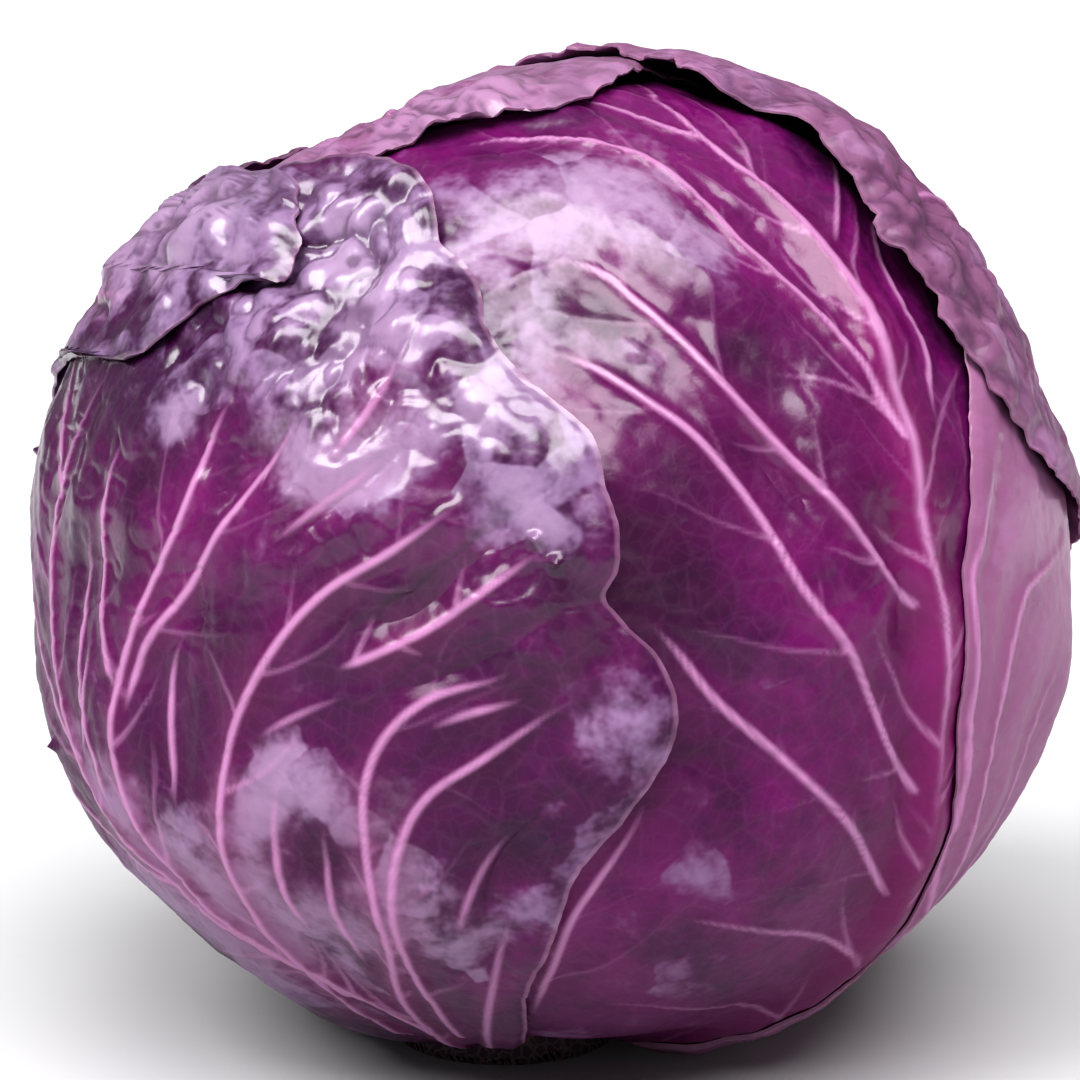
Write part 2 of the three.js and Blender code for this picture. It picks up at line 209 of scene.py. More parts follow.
LEAVES = [
    Leaf(
        "inner_wrap_front",
        (0, -2),
        [(0, -75), (42, -72), (58, -40), (64, 0), (50, 36), (0, 54), (-48, 36), (-62, 0), (-56, -40),
         (-42, -72)],
        cells=60,
        twigs=1,
        veins=[Vein([(0, -75), (0, -40), (0, 0), (0, 45)], (4, 1), (1.5, 0.4))],
    ),
    Leaf(
        "inner_wrap_back",
        (180, -2),
        [(180, -75), (138, -72), (120, -40), (114, 0), (130, 40), (180, 58), (-132, 40), (-116, 0),
         (-122, -40), (-138, -72)],
        cells=60,
        twigs=1,
        veins=[Vein([(180, -75), (180, -40), (180, 0), (180, 45)], (4, 1), (1.5, 0.4))],
    ),
    Leaf(
        "right_front_leaf",
        (36, 4),
        [(42, -75), (78, -74), (98, -42), (108, 0), (104, 40), (84, 66), (36, 80), (-32, 70), (-44, 44),
         (-38, 10), (-32, -30), (-6, -66), (12, -75)],
        cells=270,
        finish="magenta",
        veins=[
            Vein(MIDRIB, (6.0, 1.7), (5.6, 2.1)),
            Vein(MIDRIB[3:], (1.4, 1.5), (1.3, 1.0), (0.5, 0.1)),
            Vein([(38, 17), (35, 24), (33, 27), (30, 31), (26, 35), (22, 39), (19, 43), (13, 48), (4, 51),
                  (-8, 52), (-16, 51), (-23, 48), (-29, 43)], (1.8, 1.0), (1.8, 0.9)),
            Vein([(39, 0), (36, 2), (30, 8), (25, 13), (20, 18), (15, 23), (12, 26), (7, 30), (3, 33),
                  (-3, 34), (-10, 34)], (1.4, 1.0), (1.6, 1.1)),
            Vein([(44, -19), (38, -14), (34, -9), (30, -4), (25, 1), (21, 7), (17, 12), (13, 16), (8, 19),
                  (2, 22), (-3, 23), (-9, 23)], (1.3, 0.9), (1.5, 1.0)),
            Vein([(47, -31), (35, -22), (26, -16), (17, -10), (12, -5), (6, 0)], (1.1, 0.7), (1.2, 0.7)),
            Vein([(3, -60), (4, -50), (5, -43), (6, -35), (8, -30), (11, -23), (12, -19), (16, -12)],
                 (1.5, 0.7), (1.5, 0.5), (0.3, 0.5)),
            Vein([(50, 44), (46, 38), (46, 33), (46, 28), (45, 23), (43, 15)], (1.0, 1.5), (0.7, 1.2)),
            Vein([(52, 54), (44, 47), (37, 38)], (0.8, 1.2), (0.5, 0.9)),
            Vein([(51, -40), (36, -36), (24, -34), (14, -33)], (1.4, 0.7), (0.9, 0.4)),
            Vein([(53, -52), (36, -50), (20, -49), (8, -50)], (1.3, 0.7), (0.8, 0.4)),
            Vein([(22, 55), (14, 57), (4, 60), (-8, 61)], (1.4, 0.9), (1.0, 0.6)),
        ],
        bloom_and_sheen=[(8, 42, 14, 1.0), (-8, 36, 11, 1.0), (0, 26, 5, 0.6), (29, 16, 4, 0.4), (6, 25, 3.5, 1.0),
               (10, 21, 3, 1.0), (-11, 24, 6, 0.9), (26, -12, 6, 0.5), (20, -23, 9, 0.35),
               (26, -44, 12, 0.3)],
        dark=[(20, 25, 5, 1.0), (3, 29, 4, 1.0), (14, 13, 7, 1.0), (6, 3, 8, 1.0), (38, 21, 3, 1.0),
              (36, 8, 4, 0.9), (27, 14, 7, 0.9), (38, -3, 3, 0.9), (14, -1, 6, 0.7), (12, -16, 9, 0.7),
              (44, 4, 3, 0.8), (47, -12, 3, 0.8), (45, -30, 5, 0.8), (47, -42, 4, 0.6)],
        crumples=[(-8, 26, 9, 0.5), (8, 24, 5, 0.8)],
        folds=[
            Vein([(48, -38), (44, -22), (40, -8), (37, 4), (35, 14)], (3.0, 2.2), (2.2, 1.2), (0.3, 0.3)),
            Vein([(34, 30), (29, 38), (22, 46)], (2.4, 1.8), (1.4, 0.8), (0.3, 0.3)),
            Vein([(28, 6), (22, 13), (16, 19)], (2.6, 1.8), (1.5, 0.8), (0.3, 0.3)),
            Vein([(4, -14), (14, -16), (24, -18)], (2.0, 1.4), (1.0, 0.6), (0.3, 0.3)),
        ],
        relief=[(8, 42, 12, 1.6), (30, 12, 5, 1.2), (32, -2, 6, 1.2), (14, 25, 4, -1.6), (24, 24, 4, -1.2),
                (16, -2, 7, -1.2), (24, -22, 7, 0.8), (30, -36, 8, 0.7), (18, 60, 7, 1.0)],
    ),
    Leaf(
        "crown_leaf",
        (-150, 12),
        [(-150, -75), (-186, -73), (-208, -40), (-214, 0), (-214, 42), (-240, 66), (24, 74), (2, 62),
         (-6, 57), (-12, 55), (-19, 53), (-26, 50), (-33, 46), (-40, 43), (-58, 38), (-84, 24), (-94, -6),
         (-100, -42), (-118, -73)],
        cells=200,
        slot="faded_leaf",
        finish="faded",
        ragged=0.9,
        wave=1.1,
        veins=[
            Vein([(-150, -75), (-150, -50), (-150, -20), (-148, 10), (-140, 40), (-110, 62), (-60, 64),
                  (-24, 56)], (5.0, 1.2), (2.6, 0.7)),
            Vein([(-70, 66), (-50, 55), (-42, 47)], (1.4, 0.7), (0.9, 0.5)),
            Vein([(-40, 66), (-14, 66), (4, 61)], (1.4, 0.7), (0.9, 0.5)),
        ],
        crumples=[(-30, 55, 24, 1.5)],
        bloom_and_sheen=[(-20, 56, 30, 1.0)],
    ),
    Leaf(
        "right_side_leaf",
        (98, -6),
        [(84, -75), (114, -74), (138, -44), (150, -4), (138, 32), (98, 48), (62, 42), (52, 28), (47, 10),
         (46, -6), (49, -18), (55, -32), (54, -50), (50, -68), (58, -75)],
        cells=190,
        slot="faded_leaf",
        finish="pink",
        veins=[
            Vein([(84, -75), (86, -50), (88, -20), (92, 10), (96, 40)], (5.2, 1.2), (3.0, 0.8)),
            Vein([(68, -62), (62, -46), (61, -33), (55, -20), (54, -9), (56, 0), (58, 2), (69, 6), (78, 12)],
                 (2.0, 1.0), (1.6, 0.7)),
            Vein([(62, -40), (53, -26), (50, -17), (48, -9), (47, 2), (49, 8), (53, 18), (58, 28)],
                 (1.4, 0.8), (1.1, 0.6)),
            Vein([(74, -60), (69, -40), (66, -24), (66, -10), (70, 0)], (1.6, 0.8), (1.2, 0.5)),
            Vein([(64, -58), (72, -30), (76, -14)], (1.2, 0.7), (0.9, 0.4)),
        ],
        bloom_and_sheen=[(54, 6, 14, 0.7), (64, -18, 14, 0.5)],
        ragged=0.4,
        wave=0.8,
    ),
    Leaf(
        "left_side_leaf",
        (-112, -8),
        [(-106, -75), (-72, -74), (-64, -44), (-64, -8), (-78, 20), (-112, 36), (-150, 22), (-164, -8),
         (-156, -46), (-138, -73)],
        cells=120,
        slot="faded_leaf",
        finish="faded",
        veins=[
            Vein([(-106, -75), (-108, -50), (-110, -20), (-112, 8), (-112, 32)], (4.8, 1.0), (2.6, 0.6)),
            Vein([(-96, -66), (-86, -40), (-80, -14), (-76, 4)], (1.6, 0.8), (1.2, 0.5)),
        ],
    ),
    Leaf(
        "back_leaf",
        (178, -4),
        [(172, -75), (138, -73), (120, -42), (116, -2), (132, 34), (178, 50), (-136, 36), (-120, 0),
         (-128, -42), (-148, -73)],
        cells=190,
        veins=[Vein([(172, -75), (174, -50), (176, -20), (178, 10), (178, 44)], (5.4, 1.2), (3.0, 0.7))],
        bloom_and_sheen=[(170, 10, 40, 0.6)],
    ),
    Leaf(
        "ragged_right_leaf",
        (112, 24),
        [(128, -75), (104, -73), (96, -46), (94, -16), (86, 4), (76, 9), (66, 12), (60, 15), (56, 19),
         (52, 22), (50, 26), (47, 30), (48, 34), (44, 39), (44, 44), (45, 49), (44, 55), (38, 59), (31, 61),
         (25, 64), (21, 70), (10, 80), (-60, 85), (-130, 72), (180, 48), (168, 8), (164, -36), (154, -72)],
        cells=210,
        slot="faded_leaf",
        finish="dusty",
        lift=Lift(80, 200, 1.8),
        ragged=1.2,
        wave=1.3,
        veins=[
            Vein([(128, -75), (126, -50), (124, -20), (122, 10), (116, 40), (90, 62), (60, 66)], (5.2, 1.0),
                 (3.0, 0.6)),
            Vein([(122, 20), (100, 34), (80, 42), (62, 46), (50, 46)], (1.8, 0.7), (1.4, 0.5)),
            Vein([(124, -4), (104, 10), (86, 20), (70, 24), (58, 24)], (1.8, 0.7), (1.4, 0.5)),
        ],
        crumples=[(56, 36, 26, 0.9), (30, 62, 20, 0.8)],
    ),
    Leaf(
        "left_front_leaf",
        (-44, -8),
        [(-32, -75), (2, -73), (3, -56), (2, -47), (4, -37), (5, -29), (8, -24), (11, -18), (12.5, -13),
         (12, -9), (10, -5.5), (7, -3), (5, -0.5), (6, 2), (5.5, 6), (4, 10), (2.5, 14), (-1, 17), (-5, 20),
         (-9, 24), (-11, 29), (-14, 32), (-17, 34), (-19, 38), (-23, 42), (-32, 44), (-50, 42), (-74, 36),
         (-98, 20), (-110, -6), (-106, -38), (-84, -66), (-64, -75)],
        cells=270,
        lift=Lift(-40, 60, 2.6),
        wave=0.7,
        veins=[
            Vein([(-16, -74), (-14, -62), (-20, -54), (-29, -50), (-40, -44), (-51, -35), (-58, -26),
                  (-63, -15), (-65, -5), (-64, 7), (-59, 18), (-52, 28)], (2.4, 0.9), (2.4, 0.9)),
            Vein([(-27, -52), (-36, -46), (-43, -40), (-47, -33), (-49, -23), (-48, -16), (-44, -6), (-40, 2),
                  (-38, 10), (-36, 15), (-34, 24)], (1.9, 0.8), (2.1, 0.9)),
            Vein([(-24, -64), (-32, -50), (-35, -42), (-35, -36), (-34, -26), (-32, -18), (-27, -9),
                  (-22, -3), (-15, 2), (-9, 7), (-4, 12)], (2.0, 0.8), (2.2, 0.9)),
            Vein([(-48, -20), (-44, -11), (-38, -4), (-32, 6), (-28, 12), (-23, 18)], (1.4, 1.0), (1.5, 0.7),
                 (0.2, 0.4)),
            Vein([(-14, -62), (-17, -48), (-16, -38), (-17, -29), (-17, -21), (-15, -16), (-11, -12),
                  (-4, -9), (1, -5)], (1.8, 0.8), (2.0, 0.8)),
            Vein([(-22, -11), (-16, -8), (-11, -5), (-5, 0), (0, 4), (5, 7)], (1.7, 0.9), (2.4, 0.7),
                 (0.3, 0.7)),
            Vein([(-13, -16), (-7, -13), (-2, -11), (2, -8)], (1.1, 0.8), (1.2, 0.5), (0.4, 0.7)),
            Vein([(-31, -2), (-26, 3), (-20, 8), (-14, 14), (-11, 20)], (1.1, 0.8), (1.0, 0.5), (0.4, 0.7)),
            Vein([(-32, -20), (-26, -16), (-20, -13), (-13, -11)], (1.0, 0.8), (0.9, 0.4), (0.4, 0.6)),
            Vein([(-48, -16), (-52, -6), (-53, 4), (-50, 14)], (1.3, 0.9), (1.3, 0.7), (0.1, 0.4)),
            Vein([(-58, -26), (-54, -16), (-52, -6)], (1.2, 0.9), (1.1, 0.6), (0.35, 0.5)),
            Vein([(-9, -60), (-12, -50), (-14, -42), (-14, -29), (-11, -22), (-5, -17), (2, -11), (7, -6)],
                 (1.5, 0.7), (1.7, 0.6)),
            Vein([(-64, 2), (-72, 14), (-80, 24)], (1.4, 0.8), (1.0, 0.5)),
            Vein([(-52, -34), (-54, -24), (-56, -12), (-56, 0), (-54, 10)], (1.2, 0.8), (1.3, 0.6),
                 (0.35, 0.5)),
            Vein([(-40, -30), (-41, -20), (-40, -12), (-36, -4)], (1.1, 0.8), (1.2, 0.6), (0.35, 0.5)),
            Vein([(-26, -44), (-28, -34), (-27, -24), (-24, -16)], (1.1, 0.8), (1.1, 0.5), (0.35, 0.5)),
            Vein([(-20, -50), (-22, -38), (-22, -28), (-21, -20)], (1.0, 0.8), (1.0, 0.5), (0.35, 0.5)),
            Vein([(-8, -40), (-6, -32), (-3, -26), (2, -20)], (1.0, 0.8), (0.9, 0.5), (0.35, 0.5)),
            Vein([(-24, 8), (-19, 16), (-16, 24)], (1.1, 0.8), (1.0, 0.5), (0.3, 0.5)),
            Vein([(-58, -24), (-72, -14), (-84, 0), (-92, 12)], (1.6, 0.8), (1.2, 0.5)),
            Vein([(-48, -38), (-66, -32), (-82, -22), (-96, -6)], (1.8, 0.8), (1.3, 0.5)),
            Vein([(-4, -64), (-4, -54), (-3, -45), (-2, -38), (0, -30)], (1.5, 0.9), (1.1, 0.5)),
        ],
        bloom_and_sheen=[(-26, 28, 15, 1.0), (-44, 12, 4, 1.0), (-28, 10, 4, 1.0), (-19, 10, 5, 0.9), (-24, 5, 3, 0.7),
               (-25, -24, 9, 0.8), (-32, -40, 17, 0.8), (-52, -28, 10, 0.9), (-56, -42, 12, 0.8),
               (-12, -34, 13, 0.7), (5, -12, 7, 0.6), (0, 6, 5, 0.6), (-8, 15, 8, 0.8), (-12, -22, 4, 0.5)],
        dark=[(-47, -3, 5, 0.9), (-46, 6, 4, 0.8), (-34, -8, 6, 1.0), (-30, -15, 4, 1.0), (-12, -2, 5, 1.0),
              (1, -1, 4, 0.9), (-2, -11, 5, 0.8), (5, -5, 3, 0.8), (-23, -30, 4, 1.0), (-21, -4, 4, 0.9),
              (-26, 2, 3, 0.7), (-5, -18, 4, 0.9), (-11, 9, 3, 0.5), (-56, -4, 5, 0.8), (-2, -27, 4, 0.7),
              (-41, -22, 4, 0.8), (-58, 8, 5, 0.6)],
        crumples=[(-30, 31, 16, 1.3), (-46, 30, 13, 0.7), (0, -10, 12, 0.5), (-2, -34, 10, 0.4),
                  (-8, 16, 9, 0.5)],
        folds=[
            Vein([(3, -18), (2, -22), (0, -25), (-2, -28), (-3, -32), (-3, -39), (-2, -45)], (1.6, 1.6),
                 (2.2, 1.6), (0.2, 0.2)),
            Vein([(-20, -7), (-13, -3), (-7, 3), (-2, 8)], (2.2, 1.6), (1.9, 1.0), (0.3, 0.3)),
            Vein([(-18, -13), (-10, -9), (-3, -5), (3, -1)], (2.2, 1.4), (1.8, 0.9), (0.3, 0.3)),
            Vein([(-26, 2), (-19, 8), (-13, 15)], (2.0, 1.4), (1.5, 0.8), (0.3, 0.3)),
            Vein([(-36, 2), (-31, 9), (-27, 15)], (2.2, 1.4), (1.6, 0.8), (0.3, 0.3)),
        ],
        relief=[(-57, -8, 7, -1.2), (-43, -14, 6, -1.6), (-28, -30, 7, 1.0), (-27, -44, 4, -1.4),
                (-48, -36, 4, -1.2), (-6, -14, 7, -1.2), (-24, -12, 6, -1.4), (-12, -36, 6, 0.8),
                (-36, 18, 7, 1.4), (-16, 22, 7, 1.6), (-6, 12, 5, 1.2), (8, -12, 6, 1.2)],
    ),
    Leaf(
        "upper_left_leaf",
        (-124, 10),
        [(-140, -75), (-116, -73), (-108, -46), (-102, -14), (-92, 10), (-78, 17), (-64, 17), (-53, 18),
         (-48, 22), (-44, 25), (-40, 27), (-35, 27), (-34, 30), (-36, 34), (-40, 39), (-50, 41), (-62, 42),
         (-80, 43), (-98, 48), (-140, 52), (-168, 28), (-174, -8), (-172, -46), (-164, -73)],
        cells=190,
        lift=Lift(-20, 90, 0.9),
        relief=[(-84, 41, 5, 1.8)],
        ragged=1.0,
        wave=1.0,
        bloom_and_sheen=[(-54, 32, 16, 1.0), (-80, 30, 14, 0.9)],
        veins=[
            Vein([(-140, -75), (-138, -50), (-134, -20), (-128, 6), (-112, 30), (-84, 40), (-56, 38)],
                 (5.2, 1.0), (3.0, 0.6)),
            Vein([(-126, 10), (-104, 20), (-84, 24), (-66, 24), (-50, 24)], (1.8, 0.7), (1.3, 0.5)),
        ],
        crumples=[(-52, 32, 18, 1.2), (-80, 36, 20, 0.7)],
    ),
]


def unit(vectors):
    return vectors / np.linalg.norm(vectors, axis=-1, keepdims=True)


def ease(value, start, end):
    """Goes smoothly from 0 at start to 1 at end."""
    t = np.clip((value - start) / (end - start), 0, 1)
    return t * t * (3 - 2 * t)


def between(ends, part):
    return ends[0] + (ends[1] - ends[0]) * part


def from_least(least, part):
    """Goes from a least share at part 0 to all of it at part 1."""
    return least + (1 - least) * part


def upright(lon, lat):
    lon, lat = np.radians(lon), np.radians(lat)
    return np.stack([np.sin(lon) * np.cos(lat), -np.cos(lon) * np.cos(lat), np.sin(lat)], axis=-1)


STEM_WAY = unit(-HEAD_CENTRE)
DOWN = np.array([0.0, 0.0, -1.0])
LEAN = np.array(Vector(DOWN).rotation_difference(Vector(STEM_WAY)).to_matrix())


def leaning(lon, lat):
    """Unit vectors for places on the head, whose axis leans from the stem to the head's centre."""
    return upright(lon, lat) @ LEAN.T


def angle_from(way, ways):
    return np.degrees(np.arccos(np.clip(ways @ way, -1, 1)))


def curve_through(points, steps, closed=False):
    """A centripetal Catmull-Rom curve through the points."""
    p = np.asarray(points, float)
    ends = ([p[-1]], [p[0], p[1]]) if closed else ([2 * p[0] - p[1]], [2 * p[-1] - p[-2]])
    p = np.vstack([*ends[0], p, *ends[1]])
    u = np.linspace(0, 1, steps, endpoint=False)[:, None]
    spans = []
    for a, b, c, d in zip(p[:-3], p[1:-2], p[2:-1], p[3:]):
        tb = np.linalg.norm(b - a) ** 0.5
        tc = tb + np.linalg.norm(c - b) ** 0.5
        td = tc + np.linalg.norm(d - c) ** 0.5
        t = tb + u * (tc - tb)
        ab = a + (b - a) * t / tb
        bc = b + (c - b) * (t - tb) / (tc - tb)
        cd = c + (d - c) * (t - tc) / (td - tc)
        abc = ab + (bc - ab) * t / tc
        bcd = bc + (cd - bc) * (t - tb) / (td - tb)
        spans.append(abc + (bcd - abc) * (t - tb) / (tc - tb))
    if not closed:
        spans.append(p[-2:-1])
    return np.vstack(spans)


def profile_table():
    """The head's radius for each degree up from its underside."""
    radii = [PROFILE_RADII[1], *PROFILE_RADII, PROFILE_RADII[-2]]
    table = []
    for before, start, end, after in zip(radii[:-3], radii[1:-2], radii[2:-1], radii[3:]):
        t = np.arange(0, 1, 1 / PROFILE_STEP)
        slope, last_slope = (end - before) / 2, (after - start) / 2
        cubic = 2 * start - 2 * end + slope + last_slope
        square = 3 * end - 3 * start - 2 * slope - last_slope
        table.extend(start + t * (slope + t * (square + t * cubic)))
    return np.array([*table, PROFILE_RADII[-1]])


PROFILE = profile_table()


def outer_radius(ways):
    radius = np.interp(angle_from(DOWN, ways), np.arange(len(PROFILE)), PROFILE)
    for swelling in HEAD_SWELLINGS:
        away = angle_from(upright(swelling.lon, swelling.lat), ways)
        radius = radius + swelling.height * np.exp(-((away / swelling.width) ** 2))
    steepness = np.maximum(-ways[:, 2], 1e-3)
    return np.minimum(radius, (HEAD_CENTRE[2] - FLOOR_CLEARANCE) / steepness)


def thickness(ways):
    up = angle_from(STEM_WAY, ways)
    return BLADE + (PETIOLE - BLADE) * (1 - ease(up, LEAF_START, PETIOLE_END))


def noise(points, size, seed):
    """Smooth noise from about -1 to 1, with swellings of the given size."""
    rng = np.random.default_rng(seed)
    order = rng.permutation(256)
    slopes = unit(rng.normal(size=(256, 3)))
    place = points / size + rng.uniform(0, 200, 3)
    cell = np.floor(place).astype(int)
    part = place - cell
    fade = part**3 * (part * (part * 6 - 15) + 10)
    total = np.zeros(len(points))
    for corner in itertools.product((0, 1), repeat=3):
        x, y, z = (cell + corner).T & 255
        slope = slopes[order[(order[(order[x] + y) & 255] + z) & 255]]
        weight = np.prod(np.where(corner, fade, 1 - fade), axis=1)
        total += weight * np.einsum("ij,ij->i", part - corner, slope)
    return total * 1.6


def bilinear(grid, row, column):
    row = np.clip(row, 0, grid.shape[0] - 1.001)
    column = np.clip(column, 0, grid.shape[1] - 1.001)
    i, j = row.astype(int), column.astype(int)
    v, u = row - i, column - j
    above = grid[i, j] * (1 - u) + grid[i, j + 1] * u
    below = grid[i + 1, j] * (1 - u) + grid[i + 1, j + 1] * u
    return above * (1 - v) + below * v


class Uneven(NamedTuple):
    """Two layers of noise: sizes in millimetres, the finer one's share, and what is added to the seed."""

    coarse: float
    fine: float
    share: float
    seeds: tuple

    def at(self, points, seed):
        first, second = (seed + more for more in self.seeds)
        return noise(points, self.coarse, first) + self.share * noise(points, self.fine, second)


TEARS = Uneven(9.0, 3.6, 0.55, (1, 2))
FOLDS = Uneven(14.0, 6.0, 0.35, (4, 11))
SWELLS = Uneven(40.0, 16.0, 0.55, (6, 7))
WAVES = Uneven(8.0, 4.0, 0.5, (8, 9))
WRINKLES = Uneven(7.0, 3.4, 0.5, (12, 13))
TEETH_SIZE, CREASE_SIZE, GRAIN_SIZE = 1.5, 5.5, 2.6


class Globe:
    """A number for each place on the head, kept on a grid of longitude and latitude."""

    def __init__(self, step):
        self.step = step
        lat, lon = np.mgrid[-90 : 90 + step : step, -180 : 180 + step : step]
        self.shape = lon.shape
        self.ways = leaning(lon, lat).reshape(-1, 3)
        self.values = np.zeros(self.shape)

    def store(self, numbers):
        self.values = numbers.reshape(self.shape)

    def read(self, ways):
        local = ways @ LEAN
        lon = np.degrees(np.arctan2(local[:, 0], -local[:, 1]))
        lat = np.degrees(np.arcsin(np.clip(local[:, 2], -1, 1)))
        return bilinear(self.values, (lat + 90) / self.step, (lon + 180) / self.step)


class Canvas:
    """Marks drawn on a leaf's flat map, in degrees from its centre, and read back at any place."""

    def __init__(self, reach):
        self.half = int(reach / CANVAS_STEP) + 3
        side = 2 * self.half + 1
        self.layers = {name: np.zeros((side, side)) for name in ("ridge", "groove", "vein", "rib", "near")}

    def draw(self, layer, path, widths, heights):
        """Draws a soft line along a path, with a width and a height for each of its points."""
        grid = self.layers[layer]
        ends = zip(path[:-1], path[1:], widths[:-1], widths[1:], heights[:-1], heights[1:])
        for a, b, width_a, width_b, height_a, height_b in ends:
            spread = DRAW_REACH * max(width_a, width_b)
            low = np.floor((np.minimum(a, b) - spread) / CANVAS_STEP).astype(int) + self.half
            high = np.ceil((np.maximum(a, b) + spread) / CANVAS_STEP).astype(int) + self.half + 1
            low, high = np.maximum(low, 0), np.minimum(high, grid.shape[0])
            if (high <= low).any():
                continue
            x = (np.arange(low[0], high[0]) - self.half)[None, :] * CANVAS_STEP - a[0]
            y = (np.arange(low[1], high[1]) - self.half)[:, None] * CANVAS_STEP - a[1]
            run = b - a
            along = np.clip((x * run[0] + y * run[1]) / max(run @ run, 1e-9), 0, 1)
            away = np.hypot(x - along * run[0], y - along * run[1])
            away = away / (width_a + (width_b - width_a) * along)
            height = height_a + (height_b - height_a) * along
            window = grid[low[1] : high[1], low[0] : high[0]]
            profile = CREST * np.exp(-(away**2)) + (1 - CREST) * np.exp(-(away**2) / FLANK)
            np.maximum(window, height * profile, out=window)

    def read(self, layer, flat):
        across, along = flat[:, 0] / CANVAS_STEP + self.half, flat[:, 1] / CANVAS_STEP + self.half
        return bilinear(self.layers[layer], along, across)


class Sheet:
    """A leaf on the head: its flat map, its margin, its veins and how it lies."""

    def __init__(self, leaf, seed):
        self.leaf, self.seed = leaf, seed
        self.centre = leaning(*leaf.centre)
        up = LEAN @ np.array([0.0, 0.0, 1.0])
        self.east = unit(np.cross(up, self.centre))
        self.north = np.cross(self.centre, self.east)
        self.bearings = np.linspace(-math.pi, math.pi, MARGIN_STEPS, endpoint=False)
        self.plain = self.plain_reach()
        self.torn = self.torn_reach()
        self.rng = np.random.default_rng(seed)
        self.canvas = Canvas(self.plain.max() + 8)
        self.draw_veins()

    def flat(self, ways):
        """Degrees east and north of the leaf's centre, with true distances from it."""
        side = np.stack([ways @ self.east, ways @ self.north], axis=-1)
        length = np.maximum(np.linalg.norm(side, axis=-1), 1e-9)
        return side * (angle_from(self.centre, ways) / length)[:, None]

    def ways(self, flat):
        angle = np.radians(np.linalg.norm(flat, axis=-1))
        scale = np.sin(angle) / np.maximum(np.degrees(angle), 1e-9)
        aside = flat[:, :1] * self.east + flat[:, 1:] * self.north
        return self.centre * np.cos(angle)[:, None] + aside * scale[:, None]

    def plain_reach(self):
        """Degrees from the centre to the smooth margin, for each bearing."""
        edge = curve_through(self.flat(leaning(*np.array(self.leaf.outline, float).T)), 14, closed=True)
        bearing = np.arctan2(edge[:, 1], edge[:, 0])
        order = np.argsort(bearing)
        reach = np.hypot(edge[:, 0], edge[:, 1])[order]
        return np.interp(self.bearings, bearing[order], reach, period=2 * math.pi)

    def torn_reach(self):
        rim = np.stack([np.cos(self.bearings), np.sin(self.bearings), np.zeros(MARGIN_STEPS)], axis=-1)
        rim *= self.plain[:, None] * DEGREE
        teeth = 0.3 * noise(rim, TEETH_SIZE, self.seed + 3)
        return self.plain + self.leaf.ragged * (TEARS.at(rim, self.seed) + teeth)

    def reach(self, bearing, torn=True):
        return np.interp(bearing, self.bearings, self.torn if torn else self.plain, period=2 * math.pi)

    def inside(self, flat, torn=True):
        """Degrees from a place to the margin, less than 0 past it."""
        return self.reach(np.arctan2(flat[:, 1], flat[:, 0]), torn) - np.linalg.norm(flat, axis=-1)

    def cover(self, flat):
        return 1 - ease(-self.inside(flat, False), COVER_HOLD, COVER_HOLD + COVER_FADE)

    def lift(self, flat):
        lift = self.leaf.lift
        if lift is None:
            return np.zeros(len(flat))
        turned = (np.degrees(np.arctan2(flat[:, 1], flat[:, 0])) - lift.start) % 360
        along = turned / (lift.end - lift.start)
        inside = self.inside(flat)
        near = (1 - ease(inside, 0, LIFT_WIDTH)) * from_least(LIFT_RIM, ease(inside, 0, LIFT_RIM_WIDTH))
        return np.where(along > 1, 0, lift.height * near * np.sin(math.pi * np.minimum(along, 1)))

    def rise(self, ways):
        flat = self.flat(ways)
        return (thickness(ways) + self.lift(flat) + LAYER_GAP) * self.cover(flat)

    def draw_veins(self):
        paths = []
        for vein in self.leaf.veins:
            path = self.trace(vein)
            self.add_vein(path, vein.width, vein.height, vein.fade)
            paths.append((path, vein.width, vein.height))
        for fold in self.leaf.folds:
            path = self.trace(fold)
            widths, heights = self.along(path, fold.width, fold.height, fold.fade)
            self.canvas.draw("groove", path, widths / DEGREE, heights)
        for level in range(self.leaf.twigs):
            paths = [twig for path in paths for twig in self.grow(*path, level)]

    def trace(self, vein):
        return curve_through(self.flat(leaning(*np.array(vein.path, float).T)), 8)

    def along(self, path, width, height, fade):
        """The width and the height at each point of a path, fading at its ends."""
        part = np.linspace(0, 1, len(path))
        start, end = (max(share, END_FADE) for share in fade)
        ends = ease(part, -END_FADE, start) * (1 - ease(part, 1 - end, 1 + END_FADE))
        return between(width, part) * from_least(END_WIDTH, ends), between(height, part) * ends

    def add_vein(self, path, width, height, fade=(0.0, 0.5)):
        widths, heights = self.along(path, width, height, fade)
        ridge = np.maximum(widths * RIDGE_WIDTH, THIN_VEIN)
        self.canvas.draw("ridge", path, ridge / DEGREE, heights * RIDGE_HEIGHT)
        strength = np.clip(heights / PALE_HEIGHT, 0, 1) * (1 - BROAD_LOSS * ease(widths, *BROAD))
        self.canvas.draw("vein", path, np.maximum(widths * PALE_WIDTH, THIN_PALE) / DEGREE, strength)
        ribs = np.clip(heights / RIB_HEIGHT - RIB_FROM, 0, 1)
        self.canvas.draw("rib", path, widths * RIB_WIDTH / DEGREE, ribs)
        if height[0] > NEAR_FROM:
            self.canvas.draw("near", path[::3], (widths[::3] * 1.5 + NEAR_WIDTH) / DEGREE, strength[::3])

